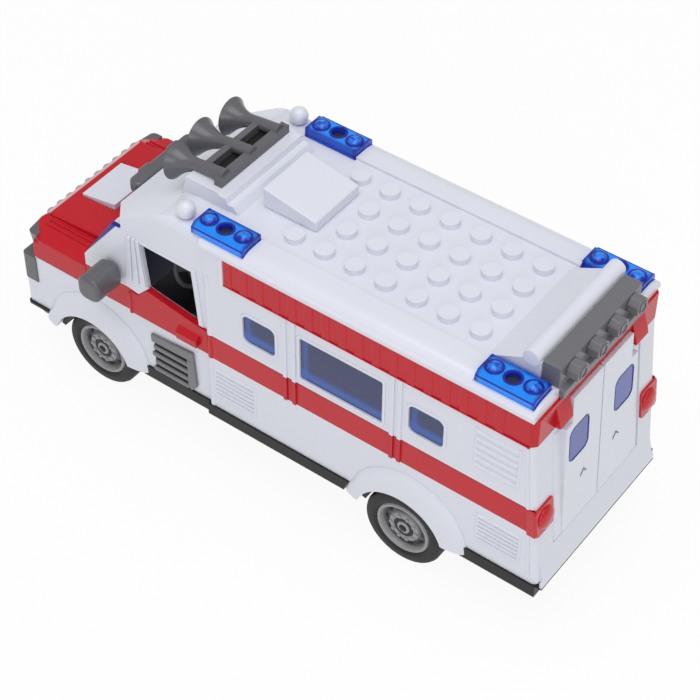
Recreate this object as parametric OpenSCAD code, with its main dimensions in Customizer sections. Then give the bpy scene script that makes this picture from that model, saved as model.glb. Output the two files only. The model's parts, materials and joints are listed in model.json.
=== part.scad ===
// Toy ambulance with a box body, a bonneted cab, roof beacons and horns, opening rear doors,
// a sound button on the hood and a friction drive on the rear axle.
// Millimetres. +X forward, +Y left, +Z up. The origin is on the ground under the middle of the toy.

/* [Overall] */
// Overall length from the rear skirt to the front bumper
length = 223; // [214:1:240]
// Width of the box body over its side walls
body_w = 73.2; // [72.6:0.2:80]
// Step in from a side wall of the box to a side wall of the cab
cab_step = 1.2; // [0.9:0.1:2.6]
// Length of the cab and nose ahead of the box body
cab_len = 87; // [85:0.5:90]
// Wall thickness of the moulded shells
wall = 1.6; // [1.4:0.1:1.8]
// Gap around pieces that move or drop into an opening
clearance = 0.3; // [0.2:0.05:0.4]
// Radial gap of shafts and pins that turn in a bore
running_gap = 0.06; // [0.03:0.01:0.09]

/* [Heights] */
// Underside of the black sill
chassis_z = 20; // [19:0.5:21]
// Height of the black sill
sill_h = 5; // [4.5:0.1:6]
// Lower edge of the red belt, which is also the seam under the hood
belt_z = 48.6; // [47:0.2:50]
// Top edge of the cab walls, where the roof starts
cab_top_z = 85; // [84.6:0.1:87]
// Rail of the rear wall between the doors and the fluted band
header_h = 2.84; // [2.6:0.02:5]
// Height of the fluted band
eaves_h = 11.4; // [10:0.2:13]
// Rise of the roof deck above the band
deck_rise = 3.9; // [3.6:0.1:4.4]

/* [Rear] */
// Lean of the rear wall towards the front
rear_lean = 5.7; // [4:0.1:7]
// Radius of the rear corners
rear_corner_r = 2.2; // [1.5:0.1:3]
// Thickness of the rear wall that carries the doors
rear_wall = 3.2; // [3:0.1:4]
// Height of the rear skirt below the doors
skirt_h = 11; // [9:0.5:13]
// Height of a rear door
door_h = 48; // [44:0.5:48.5]
// Width of one rear door
door_w = 26; // [23:0.2:26.4]
// Thickness of a rear door
door_t = 2.4; // [2.2:0.1:2.6]
// Radius of the pins that a rear door turns on
door_pin_r = 0.9; // [0.7:0.05:1]
// Length of a door pin
door_pin_len = 1.2; // [1:0.1:1.4]

/* [Windows] */
// Height of the large side window
big_window_h = 18.8; // [16:0.1:19.4]
// Width of a small side window
small_window_w = 13.4; // [11:0.1:14]
// Height of a small side window
small_window_h = 12.2; // [10:0.1:14]
// Width of a rear door window
door_window_w = 9.8; // [8:0.1:11]
// Height of a rear door window
door_window_h = 13.8; // [12:0.1:15]
// Corner radius of the small side windows and the door windows
window_r = 2.4; // [1.5:0.1:3.5]
// Corner radius of the large side window
big_window_r = 0.7; // [0.5:0.1:2]
// Thickness of the tinted glazing
glazing_t = 1.4; // [1:0.1:1.6]

/* [Roof] */
// Distance between neighbouring roof studs
stud_pitch = 12; // [11:0.1:12.4]
// Diameter of a roof stud
stud_d = 6.6; // [5:0.1:7.4]
// Height of a roof stud
stud_h = 2.2; // [1:0.1:2.6]
// Rows of roof studs across the roof
stud_rows = 4; // [2:1:4]
// Length of a beacon lens
beacon_len = 21.4; // [20:0.1:22.4]
// Width of a beacon lens
beacon_w = 9.6; // [9:0.1:9.8]
// Height of a beacon lens without its domes
beacon_h = 3.8; // [3.4:0.1:4.4]
// Outer radius of a beacon dome
dome_r = 3.4; // [3.2:0.1:3.7]
// Radius of the horn mouths
horn_r = 7; // [6:0.1:7]
// Distance between neighbouring horns
horn_pitch = 14.4; // [14.2:0.1:15.4]
// Height of the platform that carries the horns above the deck
platform_h = 5.6; // [4:0.1:7]
// Radius of the round caps on the cab roof
knob_r = 3.3; // [2.6:0.1:3.6]

/* [Wheels] */
// Diameter of the tyres
wheel_d = 30.8; // [30:0.2:31.6]
// Width of a tyre
tyre_w = 10.4; // [9:0.1:11]
// Radius of the rim that carries the tyre
rim_r = 10.6; // [9.5:0.1:11.4]
// Radius of the axles
axle_r = 1.5; // [1.2:0.05:1.7]
// From the rear end of the toy to its rear axle
rear_overhang = 54.2; // [52:0.2:56.6]
// Distance from the front axle to the front of the bumper
front_overhang = 32.2; // [31:0.1:33.4]
// Outer face of the front tyres behind the wall of the cab
front_tuck = 2; // [1:0.1:2.8]
// Outer face of the rear tyres outside the wall of the box
rear_stand = 0.1; // [-0.6:0.1:0.8]
// Radius of the wheel arches
arch_r = 17.8; // [17.2:0.1:18.4]
// Width of the flare around a wheel arch
flare_w = 6; // [5:0.1:6.6]
// Reach of a flare beyond its wall
flare_out = 2.5; // [1.5:0.1:3]

/* [Drive] */
// Module of the drive gears
gear_module = 0.5; // [0.46:0.01:0.52]
// Teeth of the gear on the rear axle
axle_teeth = 28; // [26:1:29]
// Teeth of the small gears
pinion_teeth = 10; // [10:1:12]
// Teeth of the large idler gear
idler_teeth = 24; // [22:1:25]
// Thickness of the gears
gear_t = 3; // [2:0.1:3.4]
// Radius of the flywheel
flywheel_r = 7.1; // [5:0.1:7.1]

/* [Hood] */
// Length of the hood
hood_len = 25.3; // [24:0.1:26.4]
// Setback of the hood front behind the bumper face
hood_setback = 6; // [5.4:0.1:7]
// Half width of the raised middle of the hood
hood_raise_w = 25; // [22:0.5:27]
// Radius of the front corners of the nose
nose_r = 1.4; // [1:0.1:4]
// Length of the sound button
button_len = 15.7; // [13:0.1:16.4]
// Half width of the sound button
button_w = 10.6; // [8:0.1:12]
// Travel of the sound button
button_travel = 1.5; // [1:0.1:1.8]

/* [Hidden] */
$fn = 48;

// Main stations along the toy
rear_x = -length / 2;
front_x = length / 2;
box_front = front_x - cab_len;
band_front = box_front - 8.5;
rear_foot = rear_x + 1.5;
nose_x = front_x - 1.2;
bumper_foot_z = belt_z - 12.3;
hood_front = front_x - hood_setback;
hood_rear = hood_front - hood_len;
cowl_x = hood_rear - 0.2;
front_axle_x = front_x - front_overhang;
rear_axle_x = rear_x + rear_overhang;
box_len = box_front - rear_x;

// Main heights
axle_z = wheel_d / 2;
sill_z = chassis_z + sill_h;
eaves_z = sill_z + skirt_h + door_h * cos(rear_lean) + header_h;
eaves_top = eaves_z + eaves_h;
belt_h = 10.8;
deck_z = eaves_top + deck_rise;
skirt_z = sill_z + skirt_h;

// Half widths and inner faces of the walls
box_y = body_w / 2;
cab_y = box_y - cab_step;
cab_w = 2 * cab_y;
box_in = box_y - wall;
cab_in = cab_y - wall;
overlap = 0.4;
front_track = cab_y - front_tuck;
rear_track = box_y + rear_stand;

// The windscreen wall leans back from the cowl
screen_foot_z = belt_z + 15.9;
screen_lean = 33;
screen_top_x = cowl_x - (cab_top_z - screen_foot_z) * tan(screen_lean);
screen_len = (cab_top_z - screen_foot_z) / cos(screen_lean);
screen_half_w = cab_y - 4.9;

// Chassis tub
rim_reach = 0.8;
rim_w = 4;
plate_t = 2.2;
tub_y = box_y - 17.1;
tub_wall = 1.6;
tub_z = 6;
tub_floor = 1.5;
tub_floor_z = tub_z + tub_floor;
tub_rear = rear_axle_x - 16;
tub_front = front_axle_x + 18;
liner_gap = 1.4;
liner_t = 1.4;
liner_r = arch_r + liner_gap + liner_t;
bush_r = 4;

// Screw posts between the body and the chassis
post_r = 2.6;
post_h = 18;
screw_r = 1.2;
screw_gap = 0.06;
screw_head_r = 2.2;
screw_head_h = 1.4;
post_places = [[rear_x + 14.5, box_in - 2], [box_front - 18.5, box_in - 2], [front_x - 6.8, cab_in - 2]];

// Side windows and the ribs between them, placed along the box
big_window_w = 0.2425 * box_len;
window_z = (belt_z + belt_h + eaves_z) / 2 - 1.2;
window_places = [for (k = [0.1669, 0.4125, 0.6581]) box_front - k * box_len];
rib_places = [for (k = [0.2463, 0.2735, 0.5625, 0.5846]) box_front - k * box_len];
rib_w = 1.4;
rib_rise = 0.6;
glazing_len = 0.61 * box_len;

// Roof details
shoulder_y = box_y - 5.6;
rail_y = box_y - 11.1;
rail_h = 1.1;
gutter_reach = 0.5;
roof_rear = rear_at(eaves_top) - gutter_reach;
gutter_h = 0.8;
cab_drop = 0.3;
roof_cut = 9;
roof_t = wall + cab_drop;
beacon_y = rail_y + 0.1 + beacon_w / 2;
beacon_z = deck_z - 0.7;
beacon_wall = 1;
beacon_cut = 1.5;
beacon_front_x = box_front - 5.2;
beacon_rear_x = roof_rear + 12.2;
dome_gap = beacon_len / 2 - dome_r - 0.3;
dome_rise = 1.4;
beacon_screw_r = 1.1;
lamp_bore_r = 2;
beacon_seat_r = 2.4;
beacon_seat_h = 1.4;
beacon_boss_r = 2.6;
beacon_boss_h = 7;
platform_y = rail_y - 5;
platform_z = deck_z + platform_h;
platform_front = box_front + 19.5;
platform_rear = box_front + 6.3;
visor_x = screen_top_x + 2.3;
knob_x = box_front + 11.5;
knob_y = box_y - 6.4;
stud_front = box_front - 23.6;
bar_rear = roof_rear;
fairing_rear = bar_rear + 6.6;
fairing_front = fairing_rear + 18.6;
stud_last = floor((stud_front - fairing_front) / stud_pitch);
fairing_y = rail_y - 1.3;
fairing_h = 7.7;
barrel_r = 3;
barrel_x = fairing_rear + 3.3;
bar_y = rail_y - 1.9;
bar_h = 8.4;
lamp_w = 6.4;
lamp_pitch = 11.6;
lamp_depth = 4.2;

// Horn axis: the tails lie on the platform and the mouths dip forward
horn_rear = box_front + 6.3;
horn_len = 23;
horn_tail_r = 2.3;
horn_dip = 6;
horn_bar_h = 3.2;
horn_axis_z = platform_z + horn_tail_r + 0.2;

// Rear doors, drawn in the plane of the rear wall
door_foot = skirt_h / cos(rear_lean);
door_axis_x = door_t / 2;
door_axis_y = door_w - door_t / 2;
door_seam = 0.15;
door_window_y = door_w / 2 - 0.1;
door_window_z = door_foot + door_h - 10.3;

// Drive train centres
idler_angle = 10;
flywheel_angle = -4;
idler_distance = gear_module * (axle_teeth + pinion_teeth) / 2;
flywheel_distance = gear_module * (idler_teeth + pinion_teeth) / 2;
idler_x = rear_axle_x + idler_distance * cos(idler_angle);
idler_z = axle_z + idler_distance * sin(idler_angle);
flywheel_x = idler_x + flywheel_distance * cos(flywheel_angle);
flywheel_z = idler_z + flywheel_distance * sin(flywheel_angle);
gearbox_y = 9;
gearbox_t = 1.6;
shaft_r = 1;
backlash = 0.14;

// Battery compartment, circuit board and speaker
cell_r = 5.8;
cell_h = 5.4;
cell_pitch = 12.4;
cell_room = 3 * cell_pitch - 1.2;
cover_len = cell_room + 8;
battery_x = flywheel_x + 31.465;
cover_w = 16;
speaker_bay = battery_x + cover_len / 2 + 2;
board_bay = front_axle_x - 8;
bay_len = board_bay - speaker_bay;
speaker_r = min(0.235 * bay_len, tub_y - tub_wall - 4.9);
speaker_x = speaker_bay + 0.271 * bay_len;
speaker_h = 5.5;
board_len = 0.434 * bay_len;
board_x = board_bay - 0.235 * bay_len;
board_w = 2 * (tub_y - tub_wall - 5.9);
board_t = 1.2;
board_post_h = 5.5;

// Sound button in the hood
hood_slope = 0.08;
hood_front_z = belt_z + 13.1;
hood_shoulder_z = belt_z + 9.7;
hood_ridge_z = belt_z + 12;
button_front = hood_front - 2;
button_rear = button_front - button_len;
button_x = (button_front + button_rear) / 2;
button_rise_front = 0.45;
button_rise_rear = 1.9;
flange_t = 1;
flange_reach = 1;
flange_z = hood_front_z - wall - 2 * clearance;
stem_r = 2;
switch_board_z = belt_z + 1.4;
switch_board_t = 1.6;
switch_h = 4;
leg_y = button_w + 4;
leg_w = 3;

function rear_at(z) = rear_foot + (z - sill_z) * tan(rear_lean);
function hood_z(x) = hood_front_z + (hood_front - x) * hood_slope;

// Drawing planes: side view pulled across the toy, end view pulled forward
module side_view(w) rotate([90, 0, 0]) linear_extrude(w, center = true) children();
module end_view(x0, x1) translate([x0, 0, 0]) rotate([90, 0, 90]) linear_extrude(x1 - x0) children();
module both_sides() {
    children();
    mirror([0, 1, 0]) children();
}
module right_side() mirror([0, 1, 0]) children();
module on_rear() translate([rear_foot, 0, sill_z]) rotate([0, rear_lean, 0]) children();
module on_screen() translate([cowl_x, 0, screen_foot_z]) rotate([0, -screen_lean, 0]) children();
module span(a, b) translate(a) cube(b - a);

// Rectangle about the origin with round corners
module rounded(size, r) {
    square([size[0] - 2 * r, size[1]], center = true);
    square([size[0], size[1] - 2 * r], center = true);
    for (sx = [-1, 1], sy = [-1, 1])
        translate([sx * (size[0] / 2 - r), sy * (size[1] / 2 - r)]) circle(r);
}

// Plan of the nose with round front corners
module nose_plan(x0, x1, half_w, r) {
    translate([x0, -half_w]) square([x1 - r - x0, 2 * half_w]);
    translate([x0, -half_w + r]) square([x1 - x0, 2 * (half_w - r)]);
    for (s = [-1, 1]) translate([x1 - r, s * (half_w - r)]) circle(r);
}

// Box body as a solid, with its round rear corners following the lean of the rear wall
module box_solid() intersection() {
    side_view(body_w) polygon([
        [rear_foot, sill_z], [box_front, sill_z], [box_front, eaves_top], [band_front, eaves_top],
        [band_front, eaves_z], [rear_at(eaves_z), eaves_z]]);
    on_rear() translate([0, 0, -post_h]) linear_extrude(2 * eaves_top) rear_plan(0, box_y, rear_corner_r);
}

// Plan behind the box front with round corners at the rear wall, in the plane of the rear wall
module rear_plan(inset, half_w, r) {
    translate([inset + r, -half_w]) square([length, 2 * half_w]);
    translate([inset, -half_w + r]) square([length, 2 * (half_w - r)]);
    for (s = [-1, 1]) translate([inset + r, s * (half_w - r)]) circle(r);
}

// Half profile of the roof across the box, from the middle out to the gutter
function shoulder(y0, z0, y1, z1) =
    [for (a = [0:15:90]) [y0 + (y1 - y0) * sin(a), z1 + (z0 - z1) * cos(a)]];
function mirrored(half) = concat(half, [for (i = [len(half) - 1:-1:0]) [-half[i][0], half[i][1]]]);

// Flare around a wheel arch, on the left wall
module flare(x, wall_in, wall_out) difference() {
    translate([x, wall_in, axle_z]) rotate([-90, 0, 0]) rotate_extrude() polygon(concat(
        [[arch_r, 0], [arch_r, wall + flare_out], [arch_r + 1.2, wall + flare_out]],
        [for (a = [15:15:90]) [arch_r + 1.2 + (flare_w - 1.2) * sin(a),
            wall - 0.2 + (flare_out + 0.2) * cos(a)]],
        [[arch_r + flare_w, 0]]));
    span([x - 2 * arch_r, wall_in - 1, -arch_r], [x + 2 * arch_r, wall_out + 2 * flare_out,
        chassis_z + 1.5]);
}

// Outlines of the three side windows, drawn in side view
module window_outlines(grow) {
    for (x = [window_places[0], window_places[2]]) translate([x, window_z])
        rounded([small_window_w + grow, small_window_h + grow], window_r);
    translate([window_places[1], window_z]) rounded([big_window_w + grow, big_window_h + grow],
        big_window_r);
}

module body_shell() color("white") {
    difference() {
        union() {
            difference() {
                box_solid();
                // Hollow of the box, open below, above and towards the cab
                intersection() {
                    span([rear_x, -box_in, 0], [box_front + 1, box_in, 2 * eaves_top]);
                    on_rear() span([rear_wall, -box_y, -sill_z], [length, box_y, 2 * eaves_top]);
                }
            }
            // Skirt that kicks out under the rear doors
            side_view(body_w - 2 * rear_corner_r) polygon([
                [rear_x, sill_z], [rear_foot + 1, sill_z], [rear_at(skirt_z - 1), skirt_z - 1]]);
            cab_walls();
            both_sides() flare(rear_axle_x, box_in, box_y);
            both_sides() flare(front_axle_x, cab_in, cab_y);
            // Posts for the screws from below
            both_sides() for (p = post_places) translate([p[0], p[1], sill_z])
                cylinder(r = post_r, h = post_h);
            // Ribs between the side windows
            both_sides() for (x = rib_places)
                span([x - rib_w / 2, box_y - overlap, belt_z],
                    [x + rib_w / 2, box_y + rib_rise, eaves_z]);
        }
        // Wheel arches
        for (x = [rear_axle_x, front_axle_x])
            translate([x, 0, axle_z]) rotate([90, 0, 0]) cylinder(r = arch_r, h = 2 * body_w,
                center = true);
        side_view(2 * body_w) window_outlines(0);
        // Openings of the cab doors
        side_view(2 * body_w) polygon([
            [box_front + 4.3, belt_z + 11.6], [box_front + 26.7, belt_z + 15.2],
            [box_front + 28.7, cab_top_z - 1.4], [box_front + 6.4, cab_top_z - 1.7]]);
        // Windscreen opening
        on_screen() span([-3 * wall, -screen_half_w, 2], [wall, screen_half_w, screen_len - 2.4]);
        // Doorway and the bores for the door pins
        on_rear() span([-5, -door_w - clearance, door_foot],
            [rear_wall + 1, door_w + clearance, door_foot + door_h]);
        both_sides() on_rear() translate([door_axis_x, door_axis_y, door_foot - door_pin_len - clearance])
            cylinder(r = door_pin_r + running_gap, h = door_h + 2 * (door_pin_len + clearance));
        // Pilot holes for the body screws
        both_sides() for (p = post_places) translate([p[0], p[1], sill_z - 1])
            cylinder(r = screw_r + screw_gap, h = post_h - 3);
    }
}

// Walls of the cab and the nose, open above and below
module cab_walls() difference() {
    intersection() {
        side_view(cab_w) polygon([
            [box_front - 2.5, sill_z], [front_x - 0.2, sill_z], [front_x - 0.5, bumper_foot_z - 0.2],
            [nose_x, bumper_foot_z - 0.2], [nose_x, belt_z], [cowl_x, belt_z],
            [cowl_x, screen_foot_z], [screen_top_x, cab_top_z], [box_front - 2.5, cab_top_z]]);
        linear_extrude(2 * cab_top_z) nose_plan(box_front - 3, front_x, cab_y, nose_r);
    }
    // Hollow under the hood; the front of the nose stays thick as a bumper
    span([box_front - 3, -cab_in, 0], [hood_front - wall, cab_in, belt_z - wall]);
    span([cowl_x, -cab_in, 0], [hood_front - wall, cab_in, 2 * belt_z]);
    side_view(2 * cab_in) polygon([
        [box_front - 3, 0], [cowl_x - wall, 0], [cowl_x - wall, screen_foot_z - 0.3 * wall],
        [screen_top_x - wall / cos(screen_lean), cab_top_z],
            [screen_top_x - wall / cos(screen_lean), 2 * cab_top_z],
        [box_front - 3, 2 * cab_top_z]]);
}

module chassis() color([0.12, 0.12, 0.13]) difference() {
    union() {
        difference() {
            union() {
                // Sill rim and base plate
                difference() {
                    sill_plan(chassis_z, sill_h, rim_reach);
                    translate([0, 0, plate_t]) sill_plan(chassis_z, sill_h, rim_reach - rim_w);
                }
                span([tub_rear, -tub_y, tub_z], [tub_front, tub_y, chassis_z + plate_t]);
                both_sides() for (p = post_places)
                    translate([p[0], p[1], chassis_z]) cylinder(r = post_r + 0.8, h = sill_h);
            }
            // Wheel wells
            for (x = [rear_axle_x, front_axle_x]) both_sides()
                span([x - liner_r, tub_y, 0], [x + liner_r, 2 * box_y, sill_z + 1]);
            for (x = [rear_axle_x, front_axle_x]) both_sides()
                translate([x, cab_in - 0.5, axle_z]) rotate([-90, 0, 0])
                    cylinder(r = arch_r + flare_w + clearance, h = box_y);
            // Hollow of the tub
            span([tub_rear + tub_wall, tub_wall - tub_y, tub_floor_z],
                [tub_front - tub_wall, tub_y - tub_wall, sill_z + 1]);
        }
        both_sides() wheel_liner(rear_axle_x);
        both_sides() wheel_liner(front_axle_x);
        both_sides() axle_bush(rear_axle_x, rear_track);
        both_sides() axle_bush(front_axle_x, front_track);
        battery_walls();
        // Posts under the circuit board
        for (sx = [-1, 1], sy = [-1, 1])
            translate([board_x + sx * (board_len / 2 - 3), sy * (board_w / 2 - 3), tub_z + 0.5])
                cylinder(r = 2, h = tub_floor - 0.5 + board_post_h);
    }
    for (x = [rear_axle_x, front_axle_x]) translate([x, 0, axle_z]) rotate([90, 0, 0])
        cylinder(r = axle_r + running_gap, h = 2 * body_w, center = true);
    // Battery hatch, with the pilot hole of its screw
    translate([battery_x, 0, tub_z - 1]) linear_extrude(tub_floor + 1)
        square([cover_len, cover_w], center = true);
    translate([battery_x + cover_len / 2 - 3, 0, tub_z]) cylinder(r = screw_r + screw_gap, h = 10);
    // Sound slots under the speaker
    for (i = [-3:3]) translate([speaker_x + 0.23 * speaker_r * i, 0, tub_z - 1])
        linear_extrude(tub_floor + 2)
        rounded([1.4, (1.38 - 0.23 * abs(i)) * speaker_r], 0.6);
    // Body screw holes with seats for the heads
    both_sides() for (p = post_places) translate([p[0], p[1], chassis_z - 1]) {
        cylinder(r = screw_r + screw_gap, h = sill_h + 2);
        cylinder(r = screw_head_r + clearance, h = 1 + screw_head_h + clearance);
    }
}

// Outline of the sill: the box and the narrower cab, grown by a reach
module sill_plan(z, h, reach) translate([0, 0, z]) linear_extrude(h) {
    translate([rear_x - min(reach, 0), -box_y - reach]) square([box_front + reach - rear_x + min(reach,
        0), 2 * (box_y + reach)]);
    translate([box_front, 0]) nose_plan(0, front_x + min(reach, 0) - box_front, cab_y + reach, nose_r);
}

// Barrel and end wall that close a wheel well towards the inside of the body, on the left
module wheel_liner(x) difference() {
    translate([x, tub_y - overlap, axle_z]) rotate([-90, 0, 0]) cylinder(r = liner_r, h = cab_in - tub_y);
    translate([x, tub_y - overlap + liner_t, axle_z]) rotate([-90, 0, 0])
        cylinder(r = liner_r - liner_t, h = box_y);
    span([x - 2 * liner_r, 0, -liner_r], [x + 2 * liner_r, body_w, chassis_z]);
}

// Bush that carries an axle between the tub and a wheel, on the left
module axle_bush(x, track) translate([x, tub_y - overlap, axle_z]) rotate([-90, 0, 0])
    cylinder(r = bush_r, h = track - tyre_w - clearance - tub_y + overlap);

// Walls of the battery compartment over the hatch, with a block for the cover screw
module battery_walls() difference() {
    translate([battery_x, 0, tub_floor_z]) linear_extrude(cell_h + 1)
        square([cover_len + 2, cover_w + 2], center = true);
    translate([battery_x - 3, 0, tub_floor_z - 1]) linear_extrude(cell_h + 3)
        square([cover_len - 8, cover_w - 2], center = true);
}

module floor_plate() color("dimgray") difference() {
    span([rear_at(sill_z) + rear_wall + 1, -box_in + 0.5, sill_z],
        [front_axle_x - liner_r - 1, box_in - 0.5, sill_z + 1.5]);
    // The cab part is narrower
    both_sides() span([box_front - 3.2, cab_in - 0.5, 0], [front_x, body_w, 2 * sill_z]);
    both_sides() span([rear_axle_x - liner_r - 0.5, tub_y - overlap - 0.5, 0],
        [rear_axle_x + liner_r + 0.5, body_w, 2 * sill_z]);
    both_sides() for (p = post_places) translate([p[0], p[1], 0])
        cylinder(r = post_r + 1.2, h = 2 * sill_z);
}

// Fluted band under the roof: a U that runs along both sides and round the rear
module eaves_band() color([0.72, 0.1, 0.12]) translate([0, 0, eaves_z]) linear_extrude(eaves_h)
    difference() {
    polygon(concat(fluted_side, [for (i = [len(fluted_side) - 1:-1:0]) [fluted_side[i][0],
        -fluted_side[i][1]]]));
    translate([band_rear + 2, -box_in]) square([length, 2 * box_in]);
}
band_rear = rear_at(eaves_z) - 0.3;
flute_pitch = 6.6;
flute_depth = 0.25;
flutes = floor((band_front - band_rear - 3) / flute_pitch);
flute_top = box_y + 0.1 + flute_depth;
fluted_side = concat(
    [for (i = [0:flutes - 1]) let(x = band_front - i * flute_pitch) each [
        [x, box_y + 0.1], [x - 0.3, flute_top], [x - 3.3, flute_top], [x - 3.6, box_y + 0.1]]],
    [[band_rear + 2, box_y + 0.1], [band_rear, box_y - 1.9]]);

module roof_shell() color("white") difference() {
    union() {
        difference() {
            union() {
                box_roof();
                cab_roof(0);
                // Deck studs and the stepped platform of the horns
                for (i = [0:stud_last], j = [0:stud_rows - 1])
                    if (i > 0 || abs(j - (stud_rows - 1) / 2) > 1)
                    translate([stud_front - i * stud_pitch, (j - (stud_rows - 1) / 2) * stud_pitch,
                        deck_z - 0.5])
                        cylinder(d = stud_d, h = stud_h + 0.5);
                side_view(2 * platform_y) polygon([
                    [platform_rear - 9.2, deck_z - 0.5], [platform_front + 2, deck_z - 2],
                        [platform_front, platform_z],
                    [platform_rear, platform_z], [platform_rear - 1, platform_z - 1],
                        [platform_rear - 3.4, platform_z - 1],
                    [platform_rear - 4.2, platform_z - 3], [platform_rear - 6.6, platform_z - 3]]);
            }
            box_roof_hollow();
            cab_roof(wall);
        }
        // Bosses under the beacon screws
        for (p = beacon_places) translate([p[0], p[1], beacon_z - beacon_boss_h])
            cylinder(r = beacon_boss_r, h = beacon_boss_h - 0.5);
    }
    // Flat seats for the beacons and the screw holes in them
    for (p = beacon_places) {
        translate([p[0], sign(p[1]) * (box_y + rail_y) / 2, beacon_z]) linear_extrude(deck_z)
            square([beacon_len + 2 * clearance, box_y - rail_y + 2], center = true);
        translate([p[0], p[1], beacon_z - beacon_boss_h - 1])
            cylinder(r = beacon_screw_r + screw_gap, h = beacon_boss_h + 2);
    }
}
beacon_places = [[beacon_front_x, beacon_y], [beacon_front_x, -beacon_y], [beacon_rear_x, beacon_y],
    [beacon_rear_x, -beacon_y]];

// Roof over the box: a sunk deck between two rails, with round shoulders and a gutter lip
module box_roof() end_view(roof_rear, box_front + 1.5) polygon(mirrored(concat(
    [[rail_y, deck_z], [rail_y, deck_z + rail_h]],
    shoulder(shoulder_y, deck_z + rail_h, box_y + gutter_reach, eaves_top + gutter_h),
    [[box_y + gutter_reach, eaves_top]])));
module box_roof_hollow() end_view(rear_at(eaves_top) + 2, box_front) polygon(mirrored(concat(
    shoulder(shoulder_y - 2, deck_z - roof_t, box_in - 0.6, eaves_top + 0.2),
    [[box_in - 0.6, eaves_top - 1]])));

// Cab roof that falls to the visor, with cut front corners; the same form, inset by a wall, hollows it
module cab_roof(inset) intersection() {
    translate([0, 0, cab_top_z - 2 * wall]) linear_extrude(cab_top_z) polygon([
        [0, -body_w], [visor_x - 5 - inset, -body_w], [visor_x - 5 - inset, inset - cab_y],
        [visor_x - inset, roof_cut - cab_y], [visor_x - inset, cab_y - roof_cut],
        [visor_x - 5 - inset, cab_y - inset], [visor_x - 5 - inset, body_w], [0, body_w]]);
    side_view(2 * (cab_y - inset)) polygon([
        [box_front + 0.1 - 2 * inset, cab_top_z - inset], [visor_x - 2 * inset, cab_top_z - inset],
        [visor_x - 2 * inset, cab_top_z + 2.4 - 1.4 * inset],
            [visor_x - 5 - 2 * inset, cab_top_z + 5.2 - inset],
        [platform_front - inset, deck_z - 1.2 - inset], [platform_front - 6, deck_z - cab_drop - inset],
        [box_front + 0.1 - 2 * inset, deck_z - cab_drop - inset]]);
    end_view(0, length) polygon(mirrored(concat(
        shoulder(cab_y - 3.2, deck_z - cab_drop - inset, cab_y - inset, deck_z - 4.5 - inset),
        [[cab_y - inset, cab_top_z - 2 * wall]])));
}

// Hood as a solid, inset by a wall to hollow it
module hood_solid(inset) {
    end_view(hood_rear + inset, hood_front - inset) polygon([
        [-cab_y + inset, belt_z - 2 * inset], [cab_y - inset, belt_z - 2 * inset],
        [cab_y - inset, hood_shoulder_z - inset], [hood_raise_w + 1, hood_ridge_z - inset],
        [-hood_raise_w - 1, hood_ridge_z - inset], [-cab_y + inset, hood_shoulder_z - inset]]);
    side_view(2 * (hood_raise_w - inset)) polygon([
        [hood_rear + inset, belt_z], [hood_front - inset, belt_z],
            [hood_front - inset, hood_front_z - inset],
        [hood_rear + inset, hood_z(hood_rear) - inset]]);
}

module hood() color([0.72, 0.1, 0.12]) {
    difference() {
        hood_solid(0);
        hood_solid(wall);
        span([button_rear - clearance, -button_w - clearance, belt_z],
            [button_front + clearance, button_w + clearance, 2 * belt_z]);
    }
    // Legs that carry the switch board under the button
    intersection() {
        both_sides() span([button_x - 4, leg_y - leg_w / 2, switch_board_z + switch_board_t],
            [button_x + 4, leg_y + leg_w / 2, 2 * belt_z]);
        hood_solid(0.5 * wall);
    }
}

module sound_button() color("white") {
    side_view(2 * button_w) polygon([
        [button_rear, flange_z - flange_t], [button_front, flange_z - flange_t],
        [button_front, hood_z(button_front) + button_rise_front],
        [button_rear, hood_z(button_rear) + button_rise_rear]]);
    // Flange that holds the button under the hood, and the stem over the switch
    span([button_rear - flange_reach, -button_w - flange_reach, flange_z - flange_t],
        [button_front - wall, button_w + flange_reach, flange_z]);
    translate([button_x, 0, stem_z]) cylinder(r = stem_r, h = flange_z - stem_z);
}
stem_z = switch_board_z + switch_board_t + switch_h + button_travel + clearance;

module button_board() color([0.1, 0.35, 0.2]) {
    span([button_x - 5, -leg_y - leg_w / 2, switch_board_z],
        [button_x + 5, leg_y + leg_w / 2, switch_board_z + switch_board_t]);
    translate([button_x, 0, switch_board_z + switch_board_t - 0.2]) cylinder(r = 3, h = switch_h - 0.8);
    translate([button_x, 0, switch_board_z + switch_board_t]) cylinder(r = 1.5, h = switch_h);
}

// Return spring of the button, as the sleeve that its turns fill
module button_spring() color("silver") translate([button_x, 0, switch_board_z + switch_board_t])
    difference() {
    cylinder(r = 4.4, h = flange_z - flange_t - switch_board_z - switch_board_t);
    translate([0, 0, -1]) cylinder(r = 3.5, h = belt_z);
}

module front_bumper() color("gray") translate([0, 0, bumper_foot_z]) linear_extrude(12.1) difference() {
    nose_plan(front_x - 6.5, front_x, cab_y + 0.5, nose_r);
    translate([front_x - 8, -cab_y]) square([nose_x - front_x + 8, cab_w]);
}

module grille() color("silver") {
    span([hood_front, 1 - hood_raise_w, belt_z + 0.1], [hood_front + 1.2, hood_raise_w - 1,
        hood_front_z - 0.6]);
    for (i = [-4.5:4.5]) translate([hood_front + 0.6, grille_pitch * i, belt_z + 1])
        span([0, -0.24 * grille_pitch, 0], [1.2, 0.24 * grille_pitch, hood_front_z - belt_z - 2.4]);
}

grille_pitch = 0.2 * hood_raise_w;

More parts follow.
